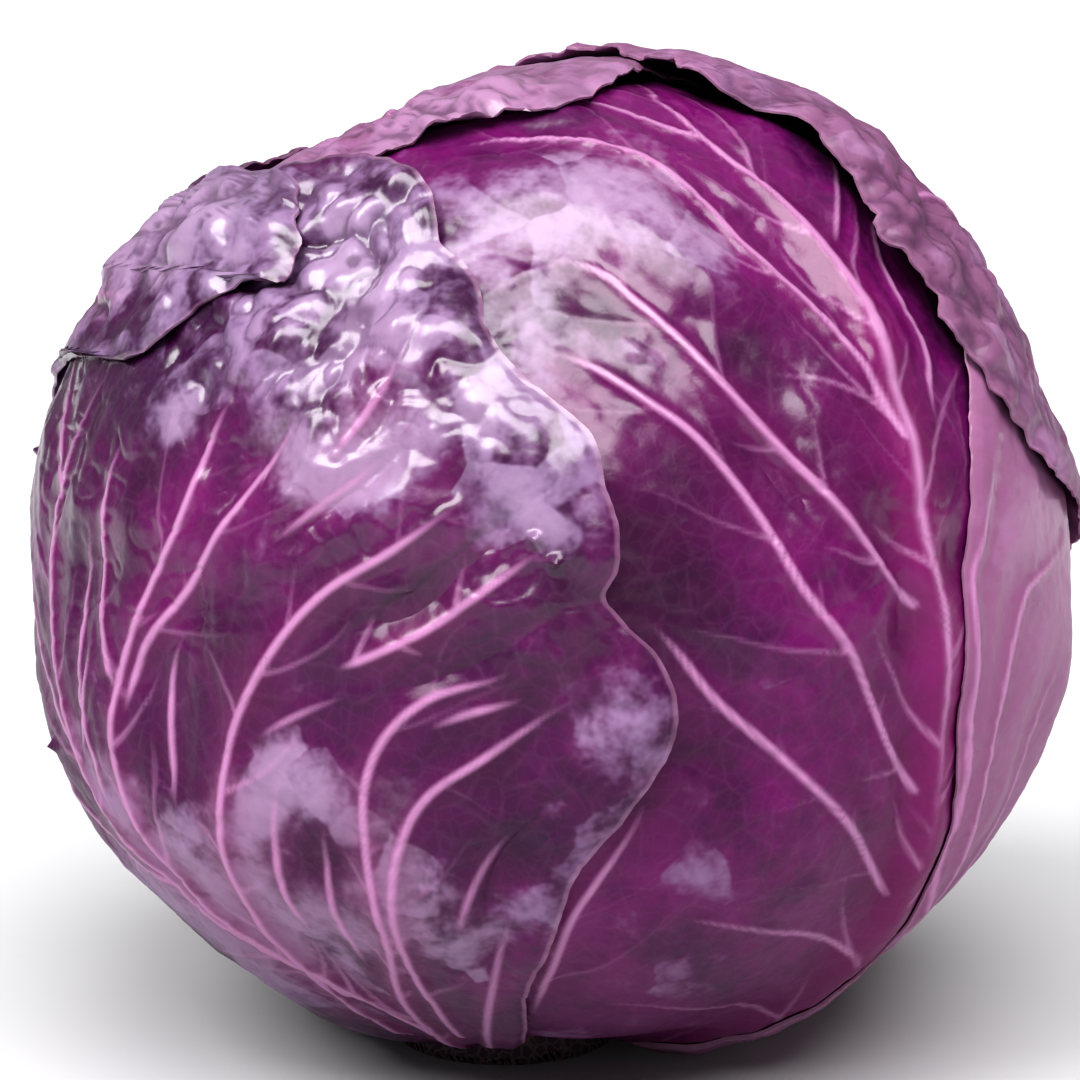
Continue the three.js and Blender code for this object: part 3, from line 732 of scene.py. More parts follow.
    def grow(self, path, width, height, level):
        """Side veins along a vein, each running on until it meets the margin or another vein."""
        grown = []
        runs = np.linalg.norm(np.diff(path, axis=0), axis=1)
        lengths = np.concatenate([[0], np.cumsum(runs)])
        spacing = TWIG_SPACING[level]
        place = self.rng.uniform(*TWIG_FIRST) * spacing
        side = 1
        while place < lengths[-1]:
            part = place / lengths[-1]
            here = np.array([np.interp(place, lengths, path[:, 0]), np.interp(place, lengths, path[:, 1])])
            index = min(np.searchsorted(lengths, place), len(path) - 1)
            heading = path[index] - path[max(index - 1, 0)]
            size = TWIG_SHARES[0] * between(width, part)
            twig = self.walk(here, math.atan2(heading[1], heading[0]), side, level, size)
            if len(twig) > TWIG_LEAST:
                wide = np.clip(size, *TWIG_WIDTH)
                high = np.clip(TWIG_SHARES[1] * between(height, part), *TWIG_HEIGHT)
                widths, heights = (wide, wide * TWIG_END[0]), (high, high * TWIG_END[1])
                twig = np.array(twig)
                self.add_vein(twig, widths, heights)
                grown.append((twig, widths, heights))
            side = -side
            place += spacing * self.rng.uniform(*TWIG_NEXT)
        return grown

    def walk(self, here, heading, side, level, size):
        turn = heading + side * math.radians(self.rng.uniform(*TWIG_TURN))
        bend = -side * math.radians(self.rng.uniform(*TWIG_BEND))
        limit = self.rng.uniform(*TWIG_RUN) * TWIG_LENGTH[level]
        twig, gone = [here], 0.0
        while gone < limit:
            turn += bend + math.radians(self.rng.normal(0, TWIG_WANDER))
            here = here + TWIG_STEP * np.array([math.cos(turn), math.sin(turn)])
            gone += TWIG_STEP
            probe = here[None, :]
            if self.inside(probe)[0] < TWIG_MARGIN:
                break
            twig.append(here)
            if gone > TWIG_CLEAR + size and self.canvas.read("vein", probe)[0] > VEIN_MET:
                break
        return twig


def spots(marks, flat, sheet):
    """The sum of soft round marks, each a place, a size in degrees and a strength."""
    total = np.zeros(len(flat))
    for lon, lat, size, strength in marks:
        centre = sheet.flat(leaning(np.array([float(lon)]), np.array([float(lat)])))[0]
        total += strength * np.exp(-(np.sum((flat - centre) ** 2, axis=1) / size**2))
    return total


class Head:
    """Everything laid so far, from the heart outwards."""

    def __init__(self):
        seeds = itertools.count(FIRST_SEED, SEED_STEP)
        self.sheets = {leaf.name: Sheet(leaf, seed) for leaf, seed in zip(LEAVES, seeds)}
        self.heart = Globe(HEART_GRID)
        self.heart.store(self.heart_radius(self.heart.ways))
        self.depth = Globe(DEPTH_GRID)
        self.depth.values += LAYER_GAP
        self.top = Globe(TOP_GRID)
        self.top.store(self.heart.read(self.top.ways) - HEART_GAP)

    def stack_depth(self, ways):
        return LAYER_GAP + sum(sheet.rise(ways) for sheet in self.sheets.values())

    def heart_radius(self, ways):
        """The outside less the mean depth of the leaves around each place."""
        aside = unit(np.cross(np.stack([ways[:, 1], -ways[:, 0], np.full(len(ways), 0.5)], axis=-1), ways))
        other = np.cross(ways, aside)
        here = self.stack_depth(ways)
        around = here.copy()
        for turn in np.arange(DEPTH_SAMPLES) * 2 * math.pi / DEPTH_SAMPLES:
            spread = math.tan(math.radians(DEPTH_SPREAD)) * (aside * math.cos(turn) + other * math.sin(turn))
            around += self.stack_depth(unit(ways + spread))
        mean = around / (DEPTH_SAMPLES + 1)
        away = ease(angle_from(DOWN, ways), *UNDERSIDE)
        excess = here - mean
        room = (excess + np.hypot(excess, ROOM_BLEND)) / 2
        return outer_radius(ways) - mean - room * (1 - away)

    def exposure(self, sheet, ways):
        """1 where a leaf is the outermost, falling to 0 well under another leaf."""
        sheets = list(self.sheets.values())
        shown = np.ones(len(ways))
        for upper in sheets[sheets.index(sheet) + 1 :]:
            under = upper.inside(upper.flat(ways), False)
            shown = np.minimum(shown, 1 - ease(under, *HIDDEN_FROM))
        return shown

    def lie(self, sheet, ways):
        """The inner and outer radius of a leaf, and the marks that its finish reads."""
        leaf, flat = sheet.leaf, sheet.flat(ways)
        shape = bpy.context.scene.cabbage_shape
        spot = ways * MEAN_RADIUS
        inside = np.maximum(sheet.inside(flat), 0) * DEGREE
        shown = self.exposure(sheet, ways)
        near = sheet.canvas.read("near", flat)
        rough = spots(leaf.crumples, flat, sheet)
        fold = np.abs(FOLDS.at(spot, sheet.seed))
        crease = np.abs(noise(spot, CREASE_SIZE, sheet.seed + 5))
        swell = shape.swell * SWELLS.at(spot, sheet.seed)
        # dark marks sink hollows into the leaf, and the finish paints them near-black as shade
        dark = np.clip(spots(leaf.dark, flat, sheet), 0, 1)
        swell += shape.pillow * (1 - near) - shape.hollow * dark + spots(leaf.relief, flat, sheet)
        swell += shape.crumple * rough * (CRUMPLE_FOLDS * fold + crease - CRUMPLE_BASE)
        wrinkle = np.abs(WRINKLES.at(spot, sheet.seed))
        swell -= shape.wrinkle * (1 - ease(wrinkle, 0, WRINKLE_LINE)) * from_least(0.4, near)
        swell += leaf.wave * WAVES.at(spot, sheet.seed) * (1 - ease(inside, 0, WAVE_WIDTH))
        swell *= from_least(HIDDEN_SWELL, shown)
        base = self.heart.read(ways) + self.depth.read(ways) + sheet.lift(flat) + swell
        rest = self.top.read(ways) + REST_GAP
        lower = (base + rest + np.hypot(base - rest, REST_BLEND)) / 2
        ridge = sheet.canvas.read("ridge", flat) - sheet.canvas.read("groove", flat)
        ridge *= from_least(HIDDEN_RIDGE, shown) * ease(inside, 0, RIDGE_MARGIN)
        blade = thickness(ways) * from_least(RIM_BLADE, ease(inside, 0, RIM_WIDTH))
        fine = shape.grain * noise(spot, GRAIN_SIZE, sheet.seed + 10) * shown
        marks = {
            "vein": sheet.canvas.read("vein", flat),
            "rib": sheet.canvas.read("rib", flat),
            "rim": 1 - ease(inside, 0.2, 1.5),
            "near": near,
            # bloom marks: lilac wax, and painted sheen where the soft lights glance off the leaf
            "bloom_and_sheen": np.clip(spots(leaf.bloom_and_sheen, flat, sheet), 0, 1),
            "dark": dark,
            # crumple: the creases of the crumpled places, which the finish darkens as painted shade
            "crumple": np.clip(rough * (1 - ease(np.minimum(fold, crease * 1.6), 0, 0.2)), 0, 1),
        }
        return lower, lower + blade + ridge + fine, marks

    def add(self, sheet):
        """Adds a laid leaf to the outside, so that the next one lies over it."""
        under = sheet.inside(sheet.flat(self.top.ways)) > -UNDER_MARGIN
        _, upper, _ = self.lie(sheet, self.top.ways[under])
        top = self.top.values.reshape(-1).copy()
        top[under] = np.maximum(top[under], upper)
        self.top.store(top)
        self.depth.values += sheet.rise(self.depth.ways).reshape(self.depth.shape)


HEAD = []


def head():
    """The leaves' shared layout, worked out once."""
    if not HEAD:
        HEAD.append(Head())
    return HEAD[0]


def clear_of_stem(ways):
    """Keeps leaves outside the circle around the stem where they are attached."""
    angle = angle_from(STEM_WAY, ways)
    axis = unit(np.cross(STEM_WAY, ways) + 1e-9)
    turn = math.radians(LEAF_START)
    edge = STEM_WAY * math.cos(turn) + np.cross(axis, STEM_WAY) * math.sin(turn)
    return np.where((angle < LEAF_START)[:, None], edge, ways)


def to_disc(x, y):
    """Distance and bearing in a disc for points of a square from -1 to 1, with even spacing."""
    wide = np.abs(x) > np.abs(y)
    big = np.where(wide, x, y)
    safe = np.where(np.abs(big) < 1e-9, 1e-9, big)
    turn = np.where(wide, math.pi / 4 * y / safe, math.pi / 2 - math.pi / 4 * x / safe)
    turn = np.where(big < 0, turn + math.pi, turn)
    return np.abs(big), turn


def deselect():
    if bpy.context.object and bpy.context.object.mode != "OBJECT":
        bpy.ops.object.mode_set(mode="OBJECT")
    bpy.ops.object.select_all(action="DESELECT")


def vertices(piece):
    points = np.empty(3 * len(piece.data.vertices))
    piece.data.vertices.foreach_get("co", points)
    return points.reshape(-1, 3)


def move_vertices(piece, points):
    piece.data.vertices.foreach_set("co", np.ascontiguousarray(points, dtype=np.float64).reshape(-1))
    piece.data.update()


def mark(piece, name, numbers):
    attribute = piece.data.attributes.new(name, "FLOAT", "POINT")
    attribute.data.foreach_set("value", np.ascontiguousarray(numbers, dtype=np.float32))


def finish_piece(piece, name, node, material, smooth=55):
    """Names a piece, gives it its finish, hangs it on the body and hides the solid that it stands for."""
    piece.name = name
    piece.data.name = name
    piece.data.materials.clear()
    piece.data.materials.append(material)
    deselect()
    bpy.context.view_layer.objects.active = piece
    piece.select_set(True)
    bpy.ops.object.shade_smooth_by_angle(angle=math.radians(smooth))
    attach(piece, BODY)
    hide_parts(node)


def leaf_side(sheet, cells, outside):
    """One side of a leaf: a grid spread over its outline and laid on the head."""
    deselect()
    bpy.ops.mesh.primitive_grid_add(x_subdivisions=cells, y_subdivisions=cells, size=2)
    side = bpy.context.object
    x, y, _ = vertices(side).T
    part, bearing = to_disc(x, y)
    reach = part * sheet.reach(bearing)
    flat = np.stack([reach * np.cos(bearing), reach * np.sin(bearing)], axis=-1)
    ways = clear_of_stem(sheet.ways(flat))
    lower, upper, marks = head().lie(sheet, ways)
    radius = upper if outside else lower
    points = HEAD_CENTRE + ways * radius[:, None]
    points[:, 2] = np.maximum(points[:, 2], FLOOR_GAP * (1 if outside else 2))
    move_vertices(side, points * MM)
    for name, numbers in marks.items():
        mark(side, name, numbers)
    if not outside:
        bpy.ops.object.mode_set(mode="EDIT")
        bpy.ops.mesh.select_all(action="SELECT")
        bpy.ops.mesh.flip_normals()
        bpy.ops.object.mode_set(mode="OBJECT")
    return side


def make_leaf(name):
    """Models one wrapper leaf as two sides joined around its margin."""
    layout = head()
    sheet = layout.sheets[name]
    leaf = sheet.leaf
    outer = leaf_side(sheet, leaf.cells, True)
    inner = leaf_side(sheet, leaf.cells // 2, False)
    deselect()
    for side in (inner, outer):
        side.select_set(True)
    bpy.context.view_layer.objects.active = outer
    bpy.ops.object.join()
    piece = bpy.context.object
    bpy.ops.object.mode_set(mode="EDIT")
    bpy.ops.mesh.select_mode(type="EDGE")
    bpy.ops.mesh.select_all(action="DESELECT")
    bpy.ops.mesh.select_non_manifold(
        extend=False, use_wire=False, use_multi_face=False, use_non_contiguous=False, use_verts=False
    )
    bpy.ops.mesh.bridge_edge_loops()
    bpy.ops.mesh.select_all(action="SELECT")
    bpy.ops.mesh.quads_convert_to_tris(quad_method="SHORTEST_DIAGONAL")
    bpy.ops.object.mode_set(mode="OBJECT")
    finish_piece(piece, name, name, leaf_material(leaf.finish))
    layout.add(sheet)
    return piece


def maths(operation, turned=False):
    """A method of Wire that adds one Math node."""

    def method(self, other):
        values = (other, self) if turned else (self, other)
        return self.paint.add("ShaderNodeMath", {"operation": operation}, dict(enumerate(values))).number()

    return method


class Wire:
    """A number socket. Python expressions on it add its Math nodes."""

    def __init__(self, paint, socket):
        self.paint, self.socket = paint, socket

    __add__ = __radd__ = maths("ADD")
    __sub__ = maths("SUBTRACT")
    __rsub__ = maths("SUBTRACT", True)
    __mul__ = __rmul__ = maths("MULTIPLY")
    __truediv__ = maths("DIVIDE")
    __pow__ = maths("POWER")
    at_least = maths("MAXIMUM")
    at_most = maths("MINIMUM")

    def clamp(self):
        return self.at_least(0.0).at_most(1.0)


class Node:
    """A node of a finish, whose outputs are read by name or place."""

    def __init__(self, paint, node):
        self.paint, self.node = paint, node

    def number(self, output=0):
        return Wire(self.paint, self.node.outputs[output])

    def out(self, output=0):
        return self.node.outputs[output]


class Paint:
    """Nodes of a finish or of the room, under construction."""

    def __init__(self, tree):
        self.tree = tree
        tree.nodes.clear()

    def add(self, kind, settings=None, sockets=None):
        node = self.tree.nodes.new(kind)
        for name, value in (settings or {}).items():
            setattr(node, name, value)
        for name, value in (sockets or {}).items():
            socket = self.find(node, name)
            if isinstance(value, Wire):
                value = value.socket
            if isinstance(value, bpy.types.NodeSocket):
                self.tree.links.new(value, socket)
            else:
                socket.default_value = value
        return Node(self, node)

    def find(self, node, name):
        for socket in node.inputs:
            if socket.identifier == name:
                return socket
        return node.inputs[name]

    def ramp(self, value, start, end):
        """A number that goes smoothly from 0 at start to 1 at end."""
        sockets = {"Value": value, "From Min": start, "From Max": end}
        return self.add("ShaderNodeMapRange", {"interpolation_type": "SMOOTHSTEP"}, sockets).number()

    def mix(self, factor, first, second):
        sockets = {"Factor_Float": factor, "A_Color": first, "B_Color": second}
        return self.add("ShaderNodeMix", {"data_type": "RGBA"}, sockets).out(2)


class Skin(Paint):
    """A material under construction, in the object's own coordinates."""

    def __init__(self, name):
        self.material = bpy.data.materials.new(name)
        self.material.use_nodes = True
        super().__init__(self.material.node_tree)
        self.place = self.add("ShaderNodeTexCoord").out("Object")

    def mark(self, name):
        return self.add("ShaderNodeAttribute", {"attribute_name": name}).number("Fac")

    def noise(self, size, detail=3.0, roughness=0.55):
        """Noise from 0 to 1 with swellings of a size in millimetres."""
        sockets = {"Vector": self.place, "Scale": 1 / (size * MM), "Detail": detail, "Roughness": roughness}
        return self.add("ShaderNodeTexNoise", None, sockets).number("Fac")

    def net(self, size, line, place=None):
        """Thin lines between cells of a size, both in millimetres."""
        sockets = {"Vector": place or self.place, "Scale": 1 / (size * MM)}
        edge = self.add("ShaderNodeTexVoronoi", {"feature": "DISTANCE_TO_EDGE"}, sockets).number("Distance")
        return 1 - self.ramp(edge, 0.0, line / size)

    def facets(self, size, place):
        """A number from 0 to 1 for each cell of a size in millimetres, with narrow soft borders."""
        sockets = {"Vector": place, "Scale": 1 / (size * MM), "Smoothness": 0.12}
        cells = self.add("ShaderNodeTexVoronoi", {"feature": "SMOOTH_F1"}, sockets)
        return self.add("ShaderNodeSeparateColor", None, {"Color": cells.out("Color")}).number("Red")

    def bent(self, size, amount):
        """Object coordinates pushed about by noise, so that patterns aren't straight."""
        sockets = {"Vector": self.place, "Scale": 1 / (size * MM), "Detail": 2.0}
        push = self.add("ShaderNodeTexNoise", None, sockets).out("Color")
        for operation, sockets in (
            ("SUBTRACT", {1: (0.5, 0.5, 0.5)}),
            ("SCALE", {"Scale": amount * MM}),
            ("ADD", {1: self.place}),
        ):
            push = self.add("ShaderNodeVectorMath", {"operation": operation}, {0: push, **sockets}).out()
        return push

    def bump(self, height, distance, strength=1.0, normal=None):
        sockets = {"Height": height, "Distance": distance * MM, "Strength": strength}
        if normal is not None:
            sockets["Normal"] = normal
        return self.add("ShaderNodeBump", None, sockets).out()

    def surface(self, sockets):
        shader = self.add("ShaderNodeBsdfPrincipled", None, sockets)
        self.add("ShaderNodeOutputMaterial", None, {"Surface": shader.out()})
        return self.material


def shade(colour):
    return (*colour, 1.0)


class Finish(NamedTuple):
    """How one kind of leaf departs from the plain one."""

    bloom_and_sheen: float
    red: float
    rough: float
    pale: float
    gloss: float


# Sizes in the leaves' finish, in millimetres: cells with their lines, and heights above the floor for the
# gloss and for the painted shade towards the bottom
CLOUD_SIZE, PATCH_SIZE, SPECK_SIZE, FACET_SIZE, PORE_SIZE = 26, 7, 1.4, 10, 2.2
BEND = (8, 3.0)
COARSE_NET = (6.0, 0.5)
FINE_NET = (2.2, 0.28)
GLOSSY_FROM = (62, 112)
SHADED_TO = (2, 48)

FINISHES = {
    "outer": Finish(0.6, 0.42, 0.30, 0.0, 0.85),
    "magenta": Finish(0.25, 0.62, 0.32, 0.0, 0.55),
    "faded": Finish(0.8, 0.5, 0.36, 0.75, 0.7),
    "pink": Finish(0.6, 0.60, 0.36, 1.0, 0.7),
    "dusty": Finish(0.8, 0.25, 0.5, 0.65, 0.25),
}
MADE = {}


def leaf_material(kind):
    """Waxy leaf skin: wine to magenta with a lilac bloom that is also a painted sheen, a fine net of veins
    and pale raised veins, and painted shade in the hollows, in the creases of crumples and towards the
    bottom.
    """
    if kind in MADE:
        return MADE[kind]
    finish = FINISHES[kind]
    colours = bpy.context.scene.cabbage_colours
    p = Skin(f"{kind}_leaf_skin")
    cloudy = p.noise(CLOUD_SIZE, 3.0)
    patchy = p.noise(PATCH_SIZE, 3.0, 0.65)
    speckle = p.noise(SPECK_SIZE, 1.0)
    place = p.bent(*BEND)
    coarse = p.net(*COARSE_NET, place)
    fine = p.net(*FINE_NET, place)
    facets = p.facets(FACET_SIZE, place)
    up = p.add("ShaderNodeSeparateXYZ", None, {0: p.place}).number("Z") / MM
    # low is painted shade: the skin is darkened towards the bottom of the head
    high, low = p.ramp(up, *GLOSSY_FROM), 1 - p.ramp(up, *SHADED_TO)
    veins, ribs, rim, near, bloom_and_sheen_mark, hollow_shade_mark, crumple = (p.mark(name) for name in MARKS)

    red = p.ramp(cloudy * 0.6 + patchy * 0.4 + (finish.red - 0.5) * 0.4, 0.38, 0.66)
    colour = p.mix(red, shade(colours.wine), shade(colours.magenta))
    wax = patchy * 0.7 + cloudy * 0.45 + (facets - 0.5) * 0.22 - 0.075
    wax = wax + (finish.bloom_and_sheen - 0.5) * 0.25 + bloom_and_sheen_mark * 0.28 - hollow_shade_mark * 0.25
    # bloom: the lilac wax bloom, together with a painted sheen from the bloom marks
    bloom_and_sheen = p.ramp(wax - near * 0.24, 0.5, 0.74)
    # frost: the palest wax, and a painted highlight where the bloom marks are strong
    frost_and_highlight = p.ramp(wax + bloom_and_sheen_mark * 0.2, 0.74, 1.1)
    net = (coarse * 0.4 + fine * 0.3).clamp()
    for cover, over in (
        (bloom_and_sheen * (0.6 + 0.3 * finish.bloom_and_sheen), colours.bloom_and_sheen),
        (frost_and_highlight * 0.4, colours.frost_and_highlight),
        (finish.pale * 0.8, colours.faded),
        # painted shade in the sunken hollows
        (hollow_shade_mark * 0.7, colours.painted_shade),
        (near * 0.3, colours.magenta),
        (net * 0.05, colours.vein),
        (ribs * 0.6, colours.rib),
        (p.ramp(veins, 0.25, 1.0) * 0.85, colours.vein),
        # painted shade towards the bottom
        (low * 0.55, colours.painted_shade),
        # painted shade in the creases of the crumples
        (crumple * 0.6, colours.wine),
        (p.ramp(rim, 0.35, 1.0) * patchy * 0.7, colours.rim),
    ):
        colour = p.mix(cover, colour, shade(over))

    roughness = finish.rough + bloom_and_sheen * 0.12 + (speckle - 0.5) * 0.14 + ribs * 0.05 + (1 - high) * 0.12
    normal = p.bump(p.noise(PORE_SIZE, 2.0), 0.3, 0.35)
    normal = p.bump(coarse * 0.6 + fine * 0.3, 0.14, 0.16, normal)
    MADE[kind] = p.surface(
        {
            "Base Color": colour,
            "Roughness": roughness,
            "Normal": normal,
            "IOR": 1.33,
            "Coat Weight": (high * 0.95 + 0.05) * finish.gloss,
            "Coat Roughness": 0.23,
            "Coat IOR": 1.6,
        }
    )
    return MADE[kind]


def stem_material():
    """Cut cabbage stalk: pale flesh with a woody ring, drier and browner at the skin."""
    colours = bpy.context.scene.cabbage_colours
    p = Skin("cut_stem_flesh")
    across = p.add("ShaderNodeSeparateXYZ", None, {0: p.place})
    x, y = across.number("X"), across.number("Y")
    radius = (x * x + y * y) ** 0.5 / MM
    wobble = p.noise(5, 3.0) * 1.6
    ring = 1 - p.ramp((radius + wobble - 14.5) * (radius + wobble - 14.5), 0.2, 3.0)
    skin = (p.ramp(radius + wobble * 0.5, 17.4, 18.8) + p.ramp(across.number("Z") / MM, 0.3, 0.9)).clamp()
    colour = p.mix(p.noise(7, 4.0), shade(colours.stem), shade(colours.pith))
    colour = p.mix(ring * 0.65, colour, shade(colours.wood))
    colour = p.mix(skin, colour, shade(colours.scar))
    colour = p.mix(p.net(1.6, 0.3) * 0.25, colour, shade(colours.wood))
    normal = p.bump(p.noise(1.1, 4.0), 0.5, 0.6)
    return p.surface({"Base Color": colour, "Roughness": 0.62 + p.noise(3) * 0.15, "Normal": normal})


def make_stem():
    """Models the cut stalk: a flat cut face with worn corners and a scarred, tapering side."""
    deselect()
    bpy.ops.mesh.primitive_cylinder_add(
        vertices=STEM_SIDES, radius=STEM_RADIUS * MM, depth=STEM_HEIGHT * MM,
        location=(0, 0, STEM_HEIGHT / 2 * MM), end_fill_type="NGON"
    )
    piece = bpy.context.object
    bpy.ops.object.transform_apply(location=True)
    for polygon in piece.data.polygons:
        polygon.select = abs(polygon.normal.z) > 0.5
    bpy.ops.object.mode_set(mode="EDIT")
    bpy.ops.mesh.select_mode(type="FACE")
    for ring in STEM_RINGS:
        bpy.ops.mesh.inset(thickness=ring * MM, use_individual=True)
    bpy.ops.mesh.poke()
    bpy.ops.mesh.select_mode(type="EDGE")
    bpy.ops.mesh.select_all(action="DESELECT")
    bpy.ops.object.mode_set(mode="OBJECT")
    for edge in piece.data.edges:
        a, b = (piece.data.vertices[i].co for i in edge.vertices)
        edge.select = abs(a.z - b.z) > 0.5 * STEM_HEIGHT * MM
    bpy.ops.object.mode_set(mode="EDIT")
    bpy.ops.mesh.subdivide(number_cuts=STEM_CUTS)
    bpy.ops.object.mode_set(mode="OBJECT")
    points = vertices(piece) / MM
    up = points[:, 2].copy()
    radius = np.hypot(points[:, 0], points[:, 1])
    scars = noise(points * [1, 1, 0.5], 7.0, 11) * 0.6
    side = ease(radius, STEM_RADIUS - 1.5, STEM_RADIUS - 0.2)
    taper = 1 - up / HEAD_CENTRE[2]
    worn = 0.5 * (1 - ease(up, 0, 1.2)) * side
    scale = taper * (1 + (scars * side * ease(up, 0, 2) - worn) / STEM_RADIUS)
    points[:, 0] = points[:, 0] * scale + up * HEAD_CENTRE[0] / HEAD_CENTRE[2]
    points[:, 1] = points[:, 1] * scale + up * HEAD_CENTRE[1] / HEAD_CENTRE[2]
    cut = np.where(up < 0.1, 0.12 * (1 + noise(points, 3.0, 13)) * (1 - side), 0)
    points[:, 2] = np.maximum(up + cut, 0)
    move_vertices(piece, points * MM)
    finish_piece(piece, "cut_stem", "cut_stem", stem_material(), 60)
    return piece


def make_heart():
    """Models the tight inner leaves as one wrinkled mass around the stem's socket."""
    deselect()
    bpy.ops.mesh.primitive_uv_sphere_add(segments=96, ring_count=56, radius=1)
    piece = bpy.context.object
    ways = unit(vertices(piece))
    layout = head()
    radius = layout.heart.read(ways) - HEART_GAP - 0.5
    spot = ways * MEAN_RADIUS
    lines = np.abs(noise(spot, HEART_CREASES, 21))
    radius -= CREASE_DEPTH * (1 - ease(lines, 0, 0.12))
    near_stem = 1 - ease(angle_from(STEM_WAY, ways), *SOCKET)
    radius -= near_stem * (STEM_HEIGHT + 2)
    move_vertices(piece, (HEAD_CENTRE + ways * radius[:, None]) * MM)
    for name in MARKS:
        mark(piece, name, np.zeros(len(ways)))
    finish_piece(piece, "heart", "heart", leaf_material("outer"))
    return piece


def make_stage():
    """A plain pale floor, soft studio lights and the camera."""
    stage = bpy.context.scene.cabbage_stage
    deselect()
    bpy.ops.mesh.primitive_plane_add(size=60)
    floor = bpy.context.object
    floor.name = "floor"
    p = Skin("floor_paper")
    floor.data.materials.append(p.surface({"Base Color": shade(stage.floor), "Roughness": 0.95}))
    bpy.context.scene.view_settings.view_transform = "Standard"
    bpy.context.scene.view_settings.look = "Medium High Contrast"
    add_room(stage)
    add_sun("key_sun", stage.key_from, stage.key_soft, stage.key)
    add_sun("left_sun", stage.left_from, stage.left_soft, stage.left)
    add_camera(stage)


def add_room(stage):
    """Even white light, dimmer on the head than the pale backdrop that the camera sees."""
    world = bpy.data.worlds.new("studio")
    bpy.context.scene.world = world
    world.use_nodes = True
    p = Paint(world.node_tree)
    seen, lit = (p.add("ShaderNodeBackground", None, {"Strength": light, "Color": (1, 1, 1, 1)}).out()
                 for light in (stage.backdrop, stage.sky))
    to_camera = p.add("ShaderNodeLightPath").out("Is Camera Ray")
    either = p.add("ShaderNodeMixShader", None, {0: to_camera, 1: lit, 2: seen})
    p.add("ShaderNodeOutputWorld", None, {"Surface": either.out()})


def add_sun(name, place, softness, strength):
    """A large soft light, far off in the direction given as its bearing to the right and its elevation."""
    bpy.ops.object.light_add(type="SUN")
    light = bpy.context.object
    light.name = name
    light.data.energy = strength
    light.data.angle = softness
    way = Vector(upright(*np.degrees(place)))
    light.rotation_euler = (-way).to_track_quat("-Z", "Y").to_euler()


def add_camera(stage):
    turn = stage.elevation
    back = Vector((0, -math.cos(turn), math.sin(turn)))
    up = Vector((0, math.sin(turn), math.cos(turn)))
    middle = Vector(HEAD_CENTRE * MM)
    aside = Vector((-stage.right, 0, 0))
    bpy.ops.object.camera_add(location=middle + back * stage.distance + aside + up * stage.down)
    camera = bpy.context.object
    camera.name = "photo_camera"
    camera.data.lens = stage.lens
    camera.data.sensor_width = 36
    camera.data.clip_start = 0.01
    camera.rotation_euler = (math.pi / 2 - turn, 0, 0)
    bpy.context.scene.camera = camera


def colour_property(name, description, default):
    return FloatVectorProperty(name=name, description=description, subtype="COLOR", size=3, min=0, max=1,
                               default=default)


def angle_pair(name, description, default):
    return FloatVectorProperty(name=name, description=description, subtype="EULER", unit="ROTATION", size=2,
                               default=[math.radians(angle) for angle in default])


def number(name, description, default, unit="NONE"):
    return FloatProperty(name=name, description=description, default=default, unit=unit)


class CabbageShape(bpy.types.PropertyGroup):
    """Heights of the leaves' relief, in millimetres."""

    swell: number("Swellings", "Height of the broad swellings, mm", 1.4)
    pillow: number("Pillows", "Height of the blade between the veins, mm", 1.7)
    hollow: number("Hollows", "Depth of the sunken dark places, mm", 1.6)
    wrinkle: number("Wrinkles", "Depth of the fine wrinkles, mm", 0.22)
    crumple: number("Crumples", "Height of the crumpled places, mm", 1.2)
    grain: number("Grain", "Height of the fine unevenness of the skin, mm", 0.09)


class CabbageColours(bpy.types.PropertyGroup):
    """Linear colours of the leaves and the stem."""

    wine: colour_property("Wine", "Darker ground colour of the leaves", (0.038, 0.0025, 0.038))
    magenta: colour_property("Magenta", "Redder ground colour of the leaves", (0.150, 0.004, 0.108))
    # Painted shade, laid in the sunken hollows and towards the bottom
    painted_shade: colour_property("Night", "Darkest places of the skin", (0.010, 0.001, 0.011))
    # Lilac wax, also laid as a painted sheen
    bloom_and_sheen: colour_property("Bloom", "Lilac wax on the skin", (0.30, 0.19, 0.35))
    # Palest wax, also laid as a painted highlight on the crumpled places
    frost_and_highlight: colour_property("Frost", "Palest wax, on the crumpled places", (0.54, 0.38, 0.54))
    faded: colour_property("Faded", "Older, greyer leaves", (0.40, 0.17, 0.32))
    vein: colour_property("Vein", "Raised veins", (0.58, 0.26, 0.50))
    rib: colour_property("Rib", "Thick ribs", (0.24, 0.010, 0.13))
    rim: colour_property("Rim", "Thin dry margin", (0.40, 0.20, 0.32))
    stem: colour_property("Stem", "Cut flesh", (0.72, 0.60, 0.52))
    pith: colour_property("Pith", "Softer, greyer flesh", (0.60, 0.50, 0.48))
    wood: colour_property("Wood", "Woody ring and fibres", (0.42, 0.28, 0.30))
    scar: colour_property("Scar", "Dried skin of the stalk", (0.045, 0.018, 0.034))


